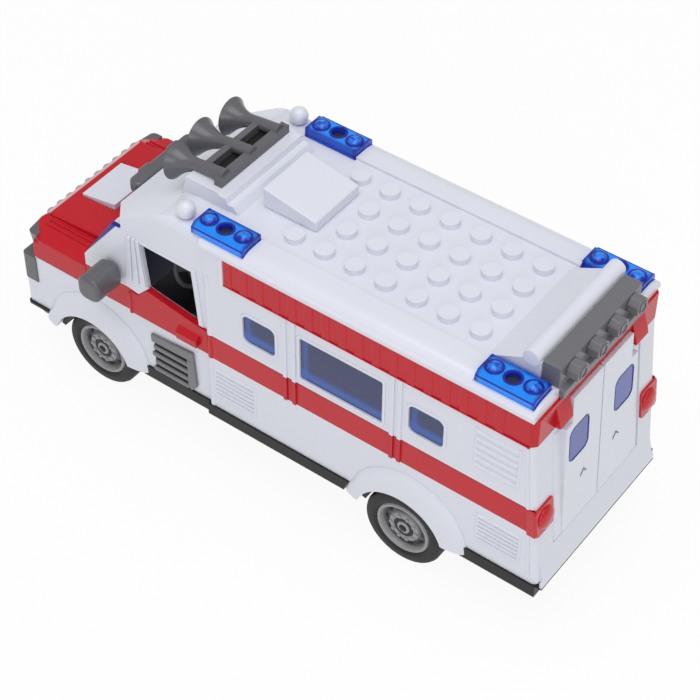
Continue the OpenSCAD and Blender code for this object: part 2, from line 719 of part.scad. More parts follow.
module headlamp_left() color("gray") difference() {
    intersection() {
        span([hood_front, hood_raise_w + 0.4, belt_z + 0.1], [nose_x, cab_y, hood_shoulder_z - 0.4]);
        linear_extrude(2 * belt_z) nose_plan(hood_front - 1, nose_x - 0.5, cab_y, nose_r + 0.6);
    }
    // Dish of the lamp
    translate([nose_x - 0.3, (hood_raise_w + cab_y) / 2 - 0.2, belt_z + 5])
        sphere(min(3.6, (cab_y - hood_raise_w) / 2.9));
}
module headlamp_right() right_side() headlamp_left();

module windscreen() color([0.15, 0.25, 0.75, 0.6]) on_screen() {
    span([-wall - 0.1 - glazing_t, -screen_half_w - 2, 1.5],
        [-wall - 0.1, screen_half_w + 2, screen_len - 2]);
    span([-wall - 0.2, -screen_half_w + 0.1, 2.1], [-0.5, screen_half_w - 0.1, screen_len - 2.5]);
}

module side_glazing_left() color([0.15, 0.25, 0.75, 0.6]) {
    translate([window_places[1], box_in - 0.1, window_z]) rotate([90, 0, 0]) linear_extrude(glazing_t)
        rounded([glazing_len, big_window_h + 2], 2);
    translate([0, box_y - 0.3, 0]) rotate([90, 0, 0]) linear_extrude(wall) window_outlines(-0.2);
}
module side_glazing_right() right_side() side_glazing_left();

module visor_bar() color("gray") translate([visor_x, 0, cab_top_z + 0.4]) {
    span([0, -12, -1.5], [3, 12, 1.9]);
    translate([3.2, 0, 0]) rotate([90, 0, 0]) cylinder(r = 3, h = 27, center = true);
    for (s = [-1, 1]) translate([3.2, 13.5 * s, 0]) sphere(3);
    for (s = [-1:1]) translate([3.2, 8 * s, 2]) cylinder(r = 2.2, h = 1.8);
}

// One horn along +X with a hollow mouth, its tail end at the origin
module horn(reach) rotate([0, 90, 0]) rotate_extrude() polygon(concat(
    [[0, 0], [horn_tail_r, 0], [horn_tail_r, 9]],
    [for (t = [0:0.125:1]) [horn_tail_r + (horn_r - horn_tail_r) * pow(t, 2.2), 11 + (reach - 11) * t]],
    [for (t = [1:-0.125:0.375]) [horn_tail_r + (horn_r - horn_tail_r) * pow(t, 2.2) - 0.9,
        11 + (reach - 11) * t]],
    [[0, 11 + (reach - 11) * 0.375]]));

module horn_set() color("dimgray") {
    difference() {
        for (i = [-1:1]) translate([horn_rear + 1, i * horn_pitch, horn_axis_z]) rotate([0, horn_dip, 0])
            horn(horn_len + (i == 0 ? 2 : 0));
        // The tails are flat where they lie on the platform
        span([horn_rear - 5, -platform_y - 5, deck_z], [platform_front + 2.5, platform_y + 5,
            platform_z]);
    }
    // Cross bars that tie the tails together and rest on the platform
    span([horn_rear, -horn_pitch - 3.6, platform_z], [horn_rear + 3.2, horn_pitch + 3.6,
        platform_z + horn_bar_h]);
    span([horn_rear + 8.6, -horn_pitch - 1.5, platform_z],
        [horn_rear + 11.2, horn_pitch + 1.5, platform_z + horn_bar_h - 0.4]);
}

module roof_knobs() color("white") both_sides() difference() {
    translate([knob_x, knob_y, deck_z - cab_drop + 0.85 * knob_r]) sphere(knob_r);
    span([knob_x - 5, knob_y - 5, deck_z - 5], [knob_x + 5, knob_y + 5, deck_z - cab_drop]);
}

module air_con_box() color("white") side_view(2 * air_con_y) polygon([
    [air_con_rear, deck_z], [air_con_front, deck_z], [air_con_front, deck_z + air_con_h],
    [air_con_rear, deck_z + 0.7 * air_con_h]]);
air_con_y = stud_pitch - 1.5;
air_con_rear = stud_front - 3.9;
air_con_front = box_front - 6.6;
air_con_h = 6;

module rear_fairing() color("white") {
    side_view(2 * fairing_y) polygon([
        [fairing_front, deck_z], [fairing_rear, deck_z], [fairing_rear, deck_z + fairing_h],
        [barrel_x + 0.8, deck_z + fairing_h]]);
    intersection() {
        translate([barrel_x, 0, deck_z + bar_h]) rotate([90, 0, 0])
            cylinder(r = barrel_r, h = 2 * fairing_y + 1.6, center = true);
        span([fairing_rear, -body_w, deck_z], [front_x, body_w, 2 * deck_z]);
    }
}

// Lamp bar behind the fairing, with a lip over the rear edge of the roof
module rear_bar() color("dimgray") {
    span([bar_rear, -bar_y, deck_z], [fairing_rear, bar_y, deck_z + bar_h]);
    side_view(2 * bar_y) polygon([
        [bar_rear, eaves_top + 0.2], [bar_rear - 1.8, eaves_top + 0.2], [bar_rear - 1.8, deck_z - 0.6],
        [bar_rear, deck_z + 0.8], [bar_rear + 1, deck_z + 0.8], [bar_rear + 1, deck_z],
            [bar_rear, deck_z]]);
}

module rear_bar_lamps() color("gray") for (i = [-1.5:1.5])
    translate([bar_rear - lamp_depth, i * lamp_pitch, deck_z + bar_h / 2 + 0.5]) rotate([90, 0, 90])
        linear_extrude(lamp_depth) chamfered(lamp_w, 1.8);
module chamfered(w, c) polygon([
    [-w / 2 + c, -w / 2], [w / 2 - c, -w / 2], [w / 2, -w / 2 + c], [w / 2, w / 2 - c],
    [w / 2 - c, w / 2], [-w / 2 + c, w / 2], [-w / 2, w / 2 - c], [-w / 2, -w / 2 + c]]);

// Beacon lens about its own middle: a hollow cap with two domes and a seat for its screw.
// The outer top edge, on the left of the toy, is cut back
module beacon_block(l, w, h, cut) translate([-l / 2, 0, 0]) rotate([90, 0, 90]) linear_extrude(l)
    polygon([
    [-w / 2, 0], [w / 2, 0], [w / 2, h - 0.9 * cut], [w / 2 - cut, h], [-w / 2, h]]);
module beacon_lens() color([0.05, 0.3, 0.95, 0.7]) difference() {
    union() {
        difference() {
            union() {
                beacon_block(beacon_len, beacon_w, beacon_h, beacon_cut);
                for (s = [-1, 1]) translate([s * dome_gap, -0.4, beacon_h - dome_r + dome_rise])
                    sphere(dome_r);
            }
            translate([0, 0, -0.01]) beacon_block(beacon_len - 2 * beacon_wall,
                beacon_w - 2 * beacon_wall,
                beacon_h - beacon_wall, beacon_cut);
            // Bores that the lamps stand in
            for (s = [-1, 1]) translate([s * dome_gap, -0.4, -1])
                cylinder(r = lamp_bore_r, h = beacon_h + 1.1);
            translate([0, 0, -dome_r]) linear_extrude(dome_r) square(2 * beacon_len, center = true);
        }
        cylinder(r = beacon_seat_r + 0.9, h = beacon_h);
    }
    translate([0, 0, beacon_seat_h]) cylinder(r = beacon_seat_r, h = beacon_h);
    translate([0, 0, -1]) cylinder(r = beacon_screw_r + screw_gap, h = beacon_h);
}
module beacon_front_left() translate([beacon_front_x, beacon_y, beacon_z]) beacon_lens();
module beacon_front_right() right_side() beacon_front_left();
module beacon_rear_left() translate([beacon_rear_x, beacon_y, beacon_z]) beacon_lens();
module beacon_rear_right() right_side() beacon_rear_left();

module beacon_screws() color("silver") for (p = beacon_places) translate([p[0], p[1], beacon_z]) {
    translate([0, 0, beacon_seat_h]) cylinder(r = beacon_seat_r - clearance, h = 1.2);
    translate([0, 0, -beacon_boss_h + 1.5]) cylinder(r = beacon_screw_r,
        h = beacon_boss_h + beacon_seat_h - 1);
}

module beacon_leds() color("aliceblue") for (p = beacon_places, s = [-1, 1])
    translate([p[0] + s * dome_gap, p[1] - 0.4 * sign(p[1]), beacon_z]) {
        cylinder(r = 1.4, h = 2.4);
        translate([0, 0, 2.4]) sphere(1.4);
    }

module step_grille_left() color("gray") difference() {
    translate([0, cab_y + 1.3, 0]) rotate([90, 0, 0]) linear_extrude(1.3) polygon([
        [box_front + 26.5, belt_z - 5.4], [box_front + 7.4, belt_z - 3.9],
            [box_front + 6.3, sill_z + 3.6],
        [box_front + 9, sill_z + 0.2], [box_front + 26.2, sill_z + 0.2]]);
    for (i = [0:3]) translate([box_front + 17.5, cab_y, sill_z + 4 + 3.4 * i])
        span([-6.5, -1, -0.7], [6.5, 2, 0.7]);
}
module step_grille_right() right_side() step_grille_left();

// Mirror housing with round edges on a short arm
module mirror_left() color("dimgray") {
    intersection() {
        translate([box_front + 42, cab_y + 7.4, belt_z]) linear_extrude(30) rounded([9.6, 12.8], 3.4);
        end_view(box_front, front_x) translate([cab_y + 7.4, belt_z + 16]) rounded([12.8, 10], 3.2);
    }
    span([box_front + 39, cab_y, belt_z + 13], [box_front + 44, cab_y + 3, belt_z + 17.4]);
}
module mirror_right() right_side() mirror_left();

// Tail lamp at belt height, wrapped round the rear corner
module tail_lamp_left() color([0.75, 0.05, 0.08]) on_rear() translate([0, 0,
    (belt_z - 1.2 - sill_z) / cos(rear_lean)]) {
    span([-1.2, door_w + 0.8, 0], [0, box_y + 0.5, 12]);
    span([-0.5, box_y, 0], [3, box_y + 0.5, 12]);
    // Round bulge of the lens
    intersection() {
        translate([2, door_w + 5.4, 6]) sphere(4.6);
        span([-5, door_w, 0], [0, box_y, 12]);
    }
}
module tail_lamp_right() right_side() tail_lamp_left();

module cab_interior() color([0.1, 0.1, 0.11]) {
    span([box_front + 2.6, -cab_in + 0.5, sill_z + 1.5], [front_axle_x - liner_r - 1.2, cab_in - 0.5,
        sill_z + 3]);
    span([box_front + 2.6, -cab_in + 0.5, sill_z + 1.5], [box_front + 4, cab_in - 0.5, cab_top_z - 14]);
    for (s = [-1, 1]) translate([0, seat_y * s, 0]) {
        span([box_front + 4, -seat_w / 2, sill_z + 2.8], [box_front + 22, seat_w / 2, sill_z + 15]);
        span([box_front + 3.8, -seat_w / 2, sill_z + 14], [box_front + 9, seat_w / 2, sill_z + 39]);
        span([box_front + 3.8, -6, sill_z + 39], [box_front + 7.5, 6, sill_z + 46]);
    }
    // Dashboard, clear of the front wheel wells
    span([front_axle_x - liner_r - 2.6, -cab_in + 0.5, sill_z + 1.5],
        [front_axle_x - liner_r - 1.2, cab_in - 0.5, belt_z + 8]);
    span([front_axle_x - liner_r - 2.6, -cab_in + 0.5, belt_z - 6],
        [cowl_x - wall - 0.5, cab_in - 0.5, belt_z + 8]);
}

seat_y = 0.4586 * cab_in;
seat_w = 0.71 * cab_in;

module steering_wheel() color([0.08, 0.08, 0.08])
    translate([front_axle_x - liner_r - 2.8, seat_y, belt_z + 7]) rotate([0, -60, 0]) {
        translate([0, 0, 7]) rotate_extrude() translate([6.2, 0]) circle(0.9);
        for (a = [90, 210, 330]) rotate([0, 0, a]) span([-0.8, -0.1, 6.4], [0.8, 6, 7.6]);
        translate([0, 0, 1]) cylinder(r = 1.1, h = 6);
    }

// Rear door in the plane of the rear wall, with round pins at its hinge edge
module rear_door_left() color("white") on_rear() difference() {
    union() {
        span([0, door_seam, door_foot + clearance], [door_t, door_axis_y,
            door_foot + door_h - clearance]);
        translate([door_axis_x, door_axis_y, door_foot + clearance])
            cylinder(d = door_t, h = door_h - 2 * clearance);
        translate([door_axis_x, door_axis_y, door_foot - door_pin_len])
            cylinder(r = door_pin_r, h = door_h + 2 * door_pin_len);
        span([-0.8, 8, door_foot + 19.4], [0.5, 12, door_foot + 20.6]);
    }
    translate([-1, door_window_y, door_window_z]) rotate([90, 0, 90]) linear_extrude(2 * door_t)
        rounded([door_window_w, door_window_h], window_r);
}
module rear_door_right() right_side() rear_door_left();

module door_window_left() color([0.15, 0.25, 0.75, 0.6]) on_rear()
    translate([0, door_window_y, door_window_z]) rotate([90, 0, 90]) {
    translate([0, 0, 0.5]) linear_extrude(door_t)
        rounded([door_window_w - 0.2, door_window_h - 0.2], window_r - 0.1);
    translate([0, 0, door_t]) linear_extrude(1)
        rounded([door_window_w + 2.4, door_window_h + 2.4], window_r);
}
module door_window_right() right_side() door_window_left();

module battery_cells() color("silver") for (i = [-1:1])
    translate([battery_x - 3 + i * (cell_pitch - 0.6), 0, tub_floor_z]) cylinder(r = cell_r, h = cell_h);

module battery_cover() color([0.12, 0.12, 0.13]) difference() {
    translate([battery_x, 0, tub_z]) linear_extrude(tub_floor)
        square([cover_len - clearance, cover_w - clearance], center = true);
    translate([battery_x + cover_len / 2 - 3, 0, tub_z - 1]) {
        cylinder(r = screw_r + screw_gap, h = 2 * tub_floor);
        cylinder(r = 2, h = 1.6);
    }
}

module battery_screw() color("silver") translate([battery_x + cover_len / 2 - 3, 0, tub_z]) {
    cylinder(r = 1.8, h = 0.6);
    cylinder(r = screw_r, h = 5.5);
}

module circuit_board() color([0.1, 0.35, 0.2]) translate([board_x, 0, tub_floor_z + board_post_h]) {
    linear_extrude(board_t) square([board_len, board_w], center = true);
    translate([-board_len / 8, board_w / 12, board_t - 0.2]) linear_extrude(1.6)
        rounded([0.375 * board_len, 0.29 * board_w], 0.06 * board_len);
    translate([0.29 * board_len, -board_w / 4, board_t - 0.2]) cylinder(r = 0.1 * board_len, h = 5);
}

module speaker() color([0.2, 0.2, 0.22]) translate([speaker_x, 0, tub_floor_z]) {
    cylinder(r = speaker_r, h = 1.6);
    translate([0, 0, 1.4]) cylinder(r1 = 0.88 * speaker_r, r2 = 0.62 * speaker_r, h = 2);
    translate([0, 0, 3.2]) cylinder(r = 0.62 * speaker_r, h = speaker_h - 3.2);
}

module body_screws() color("silver") both_sides() for (p = post_places)
    translate([p[0], p[1], chassis_z]) {
    cylinder(r = screw_head_r, h = screw_head_h + clearance);
    cylinder(r = screw_r, h = sill_h + 9);
}

// Outline of a spur gear with involute flanks; one tooth points along phase
function involute(a) = tan(a) * 180 / PI - a;
function gear_outline(teeth, phase, tip) = let(
    rp = gear_module * teeth / 2, rb = rp * cos(20), ra = rp + tip * gear_module,
        rf = rp - 1.2 * gear_module,
    half = 90 / teeth - backlash / (2 * rp) * 90 / PI,
    steps = [for (k = [0:4]) max(rb, rf) + (ra - max(rb, rf)) * k / 4],
    flank = concat([[rf, half + involute(20)]], [for (r = steps) [r,
        half + involute(20) - involute(acos(rb / r))]]))
    [for (i = [0:teeth - 1]) each concat(
        [for (f = flank) f[0] * [cos(phase + 360 * i / teeth - f[1]),
            sin(phase + 360 * i / teeth - f[1])]],
        [for (k = [len(flank) - 1:-1:0]) let(f = flank[k])
            f[0] * [cos(phase + 360 * i / teeth + f[1]), sin(phase + 360 * i / teeth + f[1])]])];

// A gear in side view at x, z, between two planes across the toy
module gear(x, z, y0, y1, teeth, phase, tip) translate([x, y1, z]) rotate([90, 0, 0])
    linear_extrude(y1 - y0) polygon(gear_outline(teeth, phase, tip));
module rod(x, z, y0, y1, r) translate([x, y0, z]) rotate([-90, 0, 0]) cylinder(r = r, h = y1 - y0);

module drive_gear() color("ivory") difference() {
    gear(rear_axle_x, axle_z, -gear_t / 2, gear_t / 2, axle_teeth, idler_angle, 0.75);
    rod(rear_axle_x, axle_z, -gear_t, gear_t, axle_r + 0.01);
}

module idler_gear() color("ivory") {
    gear(idler_x, idler_z, -gear_t / 2, gear_t / 2 + 0.8, pinion_teeth,
        idler_angle + 180 + 180 / pinion_teeth, 0.9);
    gear(idler_x, idler_z, gear_t / 2 + 0.8, 2 * gear_t + 0.3, idler_teeth, flywheel_angle, 0.75);
    rod(idler_x, idler_z, -gearbox_y - gearbox_t, gearbox_y + gearbox_t, shaft_r);
}

module flywheel() color("silver") {
    gear(flywheel_x, flywheel_z, gear_t / 2 + 0.5, 2 * gear_t + 0.6, pinion_teeth,
        flywheel_angle + 180 + 180 / pinion_teeth, 0.9);
    rod(flywheel_x, flywheel_z, -gearbox_y + 0.6, -gear_t / 2 - 0.6, flywheel_r);
    rod(flywheel_x, flywheel_z, -gearbox_y - gearbox_t, gearbox_y + gearbox_t, shaft_r);
}

// Side plate of the gearbox, standing on the floor of the tub
module gearbox_left() color("ivory") difference() {
    span([rear_axle_x - 5, gearbox_y, tub_floor_z], [flywheel_x + 6, gearbox_y + gearbox_t,
        sill_z - 0.4]);
    rod(rear_axle_x, axle_z, 0, body_w, axle_r + clearance);
    rod(idler_x, idler_z, 0, body_w, shaft_r + running_gap);
    rod(flywheel_x, flywheel_z, 0, body_w, shaft_r + running_gap);
}
module gearbox_right() right_side() gearbox_left();

// Axles end inside the hubs of the rims
module front_axle() color("silver") rod(front_axle_x, axle_z, -front_track + 3, front_track - 3, axle_r);
module rear_axle() color("silver") rod(rear_axle_x, axle_z, -rear_track + 3, rear_track - 3, axle_r);

// Rim and tyre on the left, turned about the axle; h runs outwards from the inner face
module rim(x, track) translate([x, track - tyre_w, axle_z]) rotate([-90, 0, 0]) rotate_extrude() polygon([
    [axle_r + 0.01, 0], [3.6, 0], [3.6, tyre_w - 5], [rim_r - 2.2, tyre_w - 4.4], [rim_r - 2.2, 1],
        [rim_r, 1],
    [rim_r, tyre_w - 0.8], [rim_r - 0.5, tyre_w - 0.3], [rim_r - 1.4, tyre_w - 0.3],
        [rim_r - 1.8, tyre_w - 2.4],
    [4.6, tyre_w - 2], [4, tyre_w - 0.6], [0, tyre_w - 0.6], [0, tyre_w - 3],
        [axle_r + 0.01, tyre_w - 3]]);
module tyre(x, track) translate([x, track - tyre_w, axle_z]) rotate([-90, 0, 0]) rotate_extrude()
    polygon([
    [rim_r + 0.02, 0.6], [rim_r + 1.6, 0], [axle_z - 1.6, 0], [axle_z - 0.5, 0.5], [axle_z, 1.6],
    [axle_z, tyre_w - 1.6], [axle_z - 0.5, tyre_w - 0.5], [axle_z - 1.6, tyre_w], [rim_r + 1.2, tyre_w],
    [rim_r + 0.02, tyre_w - 0.8]]);
module front_rims() color("gray") both_sides() rim(front_axle_x, front_track);
module rear_rims() color("gray") both_sides() rim(rear_axle_x, rear_track);
module front_tyres() color([0.12, 0.12, 0.12]) both_sides() tyre(front_axle_x, front_track);
module rear_tyres() color([0.12, 0.12, 0.12]) both_sides() tyre(rear_axle_x, rear_track);

chassis();
floor_plate();
body_shell();
eaves_band();
roof_shell();
hood();
front_bumper();
grille();
headlamp_left();
headlamp_right();
windscreen();
visor_bar();
horn_set();
roof_knobs();
air_con_box();
rear_fairing();
rear_bar();
rear_bar_lamps();
beacon_front_left();
beacon_front_right();
beacon_rear_left();
beacon_rear_right();
beacon_screws();
beacon_leds();
side_glazing_left();
side_glazing_right();
step_grille_left();
step_grille_right();
mirror_left();
mirror_right();
tail_lamp_left();
tail_lamp_right();
cab_interior();
steering_wheel();
rear_door_left();
rear_door_right();
door_window_left();
door_window_right();
sound_button();
button_spring();
button_board();
battery_cells();
battery_cover();
battery_screw();
circuit_board();
speaker();
body_screws();
gearbox_left();
gearbox_right();
idler_gear();
flywheel();
front_axle();
front_rims();
front_tyres();
rear_axle();
rear_rims();
rear_tyres();
drive_gear();
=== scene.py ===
import json
import math

import bmesh
import bpy
from mathutils import Matrix, Vector


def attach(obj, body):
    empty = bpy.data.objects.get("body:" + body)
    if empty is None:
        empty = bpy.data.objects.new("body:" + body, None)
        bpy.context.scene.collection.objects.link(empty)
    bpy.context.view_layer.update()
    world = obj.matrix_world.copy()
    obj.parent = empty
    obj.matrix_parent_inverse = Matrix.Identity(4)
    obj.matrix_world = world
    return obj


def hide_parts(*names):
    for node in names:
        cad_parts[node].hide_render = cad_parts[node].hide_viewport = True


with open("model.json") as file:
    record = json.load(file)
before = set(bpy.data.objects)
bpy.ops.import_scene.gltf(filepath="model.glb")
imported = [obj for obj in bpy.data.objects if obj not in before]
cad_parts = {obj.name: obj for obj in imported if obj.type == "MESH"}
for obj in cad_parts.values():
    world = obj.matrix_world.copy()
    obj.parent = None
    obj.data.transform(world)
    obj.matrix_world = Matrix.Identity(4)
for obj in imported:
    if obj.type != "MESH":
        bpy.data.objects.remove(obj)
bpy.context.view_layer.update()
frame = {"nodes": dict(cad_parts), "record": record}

# Chassis pan: one black moulding with the sill, the wheel wells and the tub for the
# running gear. Satin polypropylene, screwed to the body from below.
MM = 0.001


class Wire:
    """A socket of a material's nodes; sums and products of wires add Math nodes."""

    def __init__(self, tree, socket):
        self.tree = tree
        self.socket = socket

    def add(self, kind, settings=(), sockets=(), out=0):
        """A new node: its settings first, then the values or links of its sockets."""
        made = self.tree.nodes.new(kind)
        for name, value in dict(settings).items():
            setattr(made, name, value)
        for name, value in dict(sockets).items():
            if isinstance(value, Wire):
                self.tree.links.new(value.socket, made.inputs[name])
            else:
                made.inputs[name].default_value = value
        return Wire(self.tree, made.outputs[out])

    def maths(self, operation, first, second=0.0):
        return self.add("ShaderNodeMath", {"operation": operation}, {0: first, 1: second})

    def __add__(self, other):
        return self.maths("ADD", self, other)

    __radd__ = __add__

    def __sub__(self, other):
        return self.maths("SUBTRACT", self, other)

    def __rsub__(self, other):
        return self.maths("SUBTRACT", other, self)

    def __mul__(self, other):
        return self.maths("MULTIPLY", self, other)

    __rmul__ = __mul__

    def __gt__(self, other):
        return self.maths("GREATER_THAN", self, other)

    def __lt__(self, other):
        return self.maths("LESS_THAN", self, other)

    def __abs__(self):
        return self.maths("ABSOLUTE", self)

    def clouds(self, scale, detail=2.0):
        return self.add("ShaderNodeTexNoise", {}, {"Vector": self, "Scale": scale, "Detail": detail})

    def blended(self, first, second):
        """The first colour where this wire is 0 and the second where it is 1."""
        sockets = {0: self, 6: first, 7: second}
        return self.add("ShaderNodeMix", {"data_type": "RGBA"}, sockets, 2)

    def clamped(self):
        return self.add("ShaderNodeClamp", {}, {0: self})

    def axes(self):
        """The three coordinates of a place, in millimetres."""
        split = self.add("ShaderNodeSeparateXYZ", {}, {0: self}).socket.node
        return [Wire(self.tree, split.outputs[i]) * 1000 for i in range(3)]


def new_finish(name):
    """A material with its shader and the wire of the object's own coordinates."""
    material = bpy.data.materials.new(name)
    material.use_nodes = True
    tree = material.node_tree
    place = Wire(tree, tree.nodes.new("ShaderNodeTexCoord").outputs["Object"])
    return material, tree.nodes["Principled BSDF"], place


def feed(shader, **wires):
    """Links wires to a shader; an underscore in a socket's name stands for a space."""
    for name, wire in wires.items():
        wire.tree.links.new(wire.socket, shader.inputs[name.replace("_", " ")])


def tinted(colour, share):
    """A lighter or darker shade of a colour, with its alpha."""
    return (*(min(1.0, c * share) for c in colour), 1.0)


def surface(shader, place, colour, gloss, grain=0.00002, tone=0.05, scale=2400):
    """Moulded plastic: faint flow clouds in the colour, uneven gloss, fine tool grain."""
    flow = place.clouds(38, 3)
    fine = place.clouds(scale, 2)
    if not isinstance(colour, Wire):
        colour = flow.blended(tinted(colour, 1 - tone), tinted(colour, 1 + tone))
    relief = place.add("ShaderNodeBump", {}, {"Strength": 0.35, "Distance": grain, "Height": fine})
    rough = gloss + 0.10 * (flow - 0.5) + 0.08 * (fine - 0.5)
    feed(shader, Base_Color=colour, Roughness=rough, Normal=relief)


def moulded(name, colour, gloss, grain=0.00002, tone=0.05, scale=2400, coat=0.0, shine=0.5):
    """A moulded plastic of one colour."""
    material, shader, place = new_finish(name)
    surface(shader, place, colour, gloss, grain, tone, scale)
    shader.inputs["Coat Weight"].default_value = coat
    shader.inputs["Coat Roughness"].default_value = 0.08
    shader.inputs["Specular IOR Level"].default_value = shine
    return material


def make(name, shape, finish, body, edge=0.0, steps=2, angle=32):
    """Turns a bmesh into a piece with rounded edges that rides on a body."""
    mesh = bpy.data.meshes.new(name)
    bmesh.ops.recalc_face_normals(shape, faces=shape.faces)
    shape.to_mesh(mesh)
    shape.free()
    mesh.materials.clear()
    mesh.materials.append(finish)
    for face in mesh.polygons:
        face.use_smooth = True
        face.material_index = 0
    piece = bpy.data.objects.new(name, mesh)
    bpy.context.scene.collection.objects.link(piece)
    if edge:
        rounding = piece.modifiers.new("rounding", "BEVEL")
        rounding.width = edge * MM
        rounding.segments = steps
        rounding.limit_method = "ANGLE"
        rounding.angle_limit = math.radians(angle)
        rounding.harden_normals = True
        rounding.miter_outer = "MITER_ARC"
    else:
        mesh.set_sharp_from_angle(angle=math.radians(angle))
    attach(piece, body)
    return piece


BODY_OF = {}
for body_name, members in frame["record"]["behaviour"]["bodies"].items():
    for member in members:
        BODY_OF[member] = body_name


def softened(node, finish, edge=0.35, steps=2, angle=32):
    """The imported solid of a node, its facets joined and its edges rounded as moulded."""
    shape = bmesh.new()
    shape.from_mesh(frame["nodes"][node].data)
    bmesh.ops.remove_doubles(shape, verts=shape.verts, dist=0.002 * MM)
    flat = math.radians(0.6)
    bmesh.ops.dissolve_limit(shape, angle_limit=flat, verts=shape.verts, edges=shape.edges)
    for layer in list(shape.loops.layers.float_vector.values()):
        shape.loops.layers.float_vector.remove(layer)
    piece = make(node + "_moulding", shape, finish, BODY_OF[node], edge, steps, angle)
    if "custom_normal" in piece.data.attributes:
        piece.data.attributes.remove(piece.data.attributes["custom_normal"])
    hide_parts(node)
    return piece


def coated(node, finish):
    """Keeps a node's own solid and gives it a finish."""
    for holder in frame["nodes"][node].material_slots:
        holder.material = finish


BLACK = (0.011, 0.011, 0.012)
CAB_GREY = (0.19, 0.19, 0.21)
PAN_REAR = -109.9
PAN_FLOOR = 20.0
RIM_START = 98.0
RIM_SIDE = 35.2
RIM_FRONT = 109.5
NOSE_LINE = 23.3
NOSE_LINE_SHARE = 0.24
black_plastic = moulded("black_plastic", BLACK, 0.42, 0.00004, 0.12, shine=0.3)
cab_grey = moulded("cab_grey", CAB_GREY, 0.45, 0.00004, 0.12, shine=0.4)
pan = softened("chassis", black_plastic, 0.3)
for vertex in pan.data.vertices:
    vertex.co.x = max(vertex.co.x, PAN_REAR * MM)
    at_edge = abs(vertex.co.y) > RIM_SIDE * MM or vertex.co.x > RIM_FRONT * MM
    if at_edge and vertex.co.x > RIM_START * MM:
        rise = max(0.0, vertex.co.z - PAN_FLOOR * MM)
        vertex.co.z = NOSE_LINE * MM + NOSE_LINE_SHARE * rise
for node, finish in (("floor_plate", black_plastic), ("cab_interior", cab_grey),
                     ("steering_wheel", cab_grey), ("battery_cover", black_plastic)):
    softened(node, finish, 0.25)

# Body shell: the white box, cab and nose in one gloss ABS moulding with the wheel flares.
# The red belt is sprayed on through a mask, from the rear corners to the hood.
WHITE = (0.74, 0.76, 0.845)
RED = (0.55, 0.008, 0.018)
BELT_LOW = 48.6
BELT_HIGH = 59.4
BELT_REAR = -107.2
BELT_FRONT = 80.4
BOX_SIDE = 36.6
CAB_SIDE = 35.4
BOX_FRONT = 24.5
LEDGE_REAR = (28.8, 60.3)
LEDGE_FRONT = 52.0
LEDGE_SLOPE = 0.1607
CAB_CORNER = (60.5, 33.5, 84.5)
CAB_CORNER_BACK = 2.6
white_plastic = moulded("white_plastic", WHITE, 0.30, 0.000012, 0.02, coat=0.25)
red_plastic = moulded("red_plastic", RED, 0.24, 0.000012, 0.06, shine=0.3)

body_paint, shader, place = new_finish("body_paint")
x, y, z = place.axes()
spray = 0.12 * (place.clouds(900) - 0.5)
ledge_top = LEDGE_REAR[1] + LEDGE_SLOPE * (x - LEDGE_REAR[0])
ledge = (x > BOX_FRONT + 0.8) * (x < LEDGE_FRONT) * (z < ledge_top)
belt = (z + spray > BELT_LOW) * ((z + spray < BELT_HIGH) + ledge > 0.5)
outside = (abs(y) > BOX_SIDE - 0.9) + (x > BOX_FRONT + 0.4) * (abs(y) > CAB_SIDE - 0.5)
outside = outside + ledge * (abs(y) > CAB_SIDE - 1.5)
painted = belt * (outside > 0.5) * (x > BELT_REAR) * (x < BELT_FRONT)
# Painted shade: the top half millimetre of the belt along the box is darker red, as shade along its upper
# edge.
belt_edge_shade = (z + spray > BELT_HIGH - 0.5) * (x < BOX_FRONT)
white_tone = place.clouds(38, 3).blended(tinted(WHITE, 0.98), tinted(WHITE, 1.02))
red_tone = place.clouds(60, 3).blended(tinted(RED, 0.94), tinted(RED, 1.06))
red_tone = belt_edge_shade.blended(red_tone, tinted(RED, 0.55))
surface(shader, place, painted.blended(white_tone, red_tone), 0.30, 0.000012)
feed(shader, Coat_Weight=0.25 - 0.25 * painted)
shader.inputs["Coat Roughness"].default_value = 0.08
shader.inputs["Specular IOR Level"].default_value = 0.35


def set_back(piece, corner, distance):
    """Moves what lies beyond a corner, on both sides of the toy, towards the rear."""
    for vertex in piece.data.vertices:
        reach = (vertex.co.x, abs(vertex.co.y), vertex.co.z)
        if all(have > limit * MM for have, limit in zip(reach, corner)):
            vertex.co.x -= distance * MM


set_back(softened("body_shell", body_paint, 0.3), CAB_CORNER, CAB_CORNER_BACK)


def on_left(u, v, w):
    """Along the toy, up and outwards, on its left side."""
    return Vector((u, w, v)) * MM


def on_right(u, v, w):
    """Along the toy, up and outwards, on its right side."""
    return Vector((u, -w, v)) * MM


def upwards(u, v, w):
    """Along the toy, across it and up."""
    return Vector((u, v, w)) * MM


def standing(side):
    """For a section seen from above: along the toy and outwards, drawn out upwards."""
    return lambda u, w, v: side(u, v, w)


def lying(side):
    """For a section seen from the end: up and outwards, drawn out along the wall."""
    return lambda v, w, u: side(u, v, w)


SIDES = (on_left, on_right)


def prism(shape, outline, low, high, place):
    """A straight prism of a flat outline between two planes."""
    lower = [shape.verts.new(place(u, v, low)) for u, v in outline]
    upper = [shape.verts.new(place(u, v, high)) for u, v in outline]
    shape.faces.new(lower)
    shape.faces.new(list(reversed(upper)))
    for i in range(len(outline)):
        j = (i + 1) % len(outline)
        shape.faces.new((lower[i], lower[j], upper[j], upper[i]))


def collar(shape, outer, inner, low, high, place):
    """A frame between two outlines of as many points."""
    rings = [[shape.verts.new(place(u, v, w)) for u, v in outline]
             for outline, w in ((outer, low), (outer, high), (inner, high), (inner, low))]
    count = len(outer)
    for a, b in ((0, 1), (1, 2), (2, 3), (3, 0)):
        for i in range(count):
            j = (i + 1) % count
            shape.faces.new((rings[a][i], rings[a][j], rings[b][j], rings[b][i]))


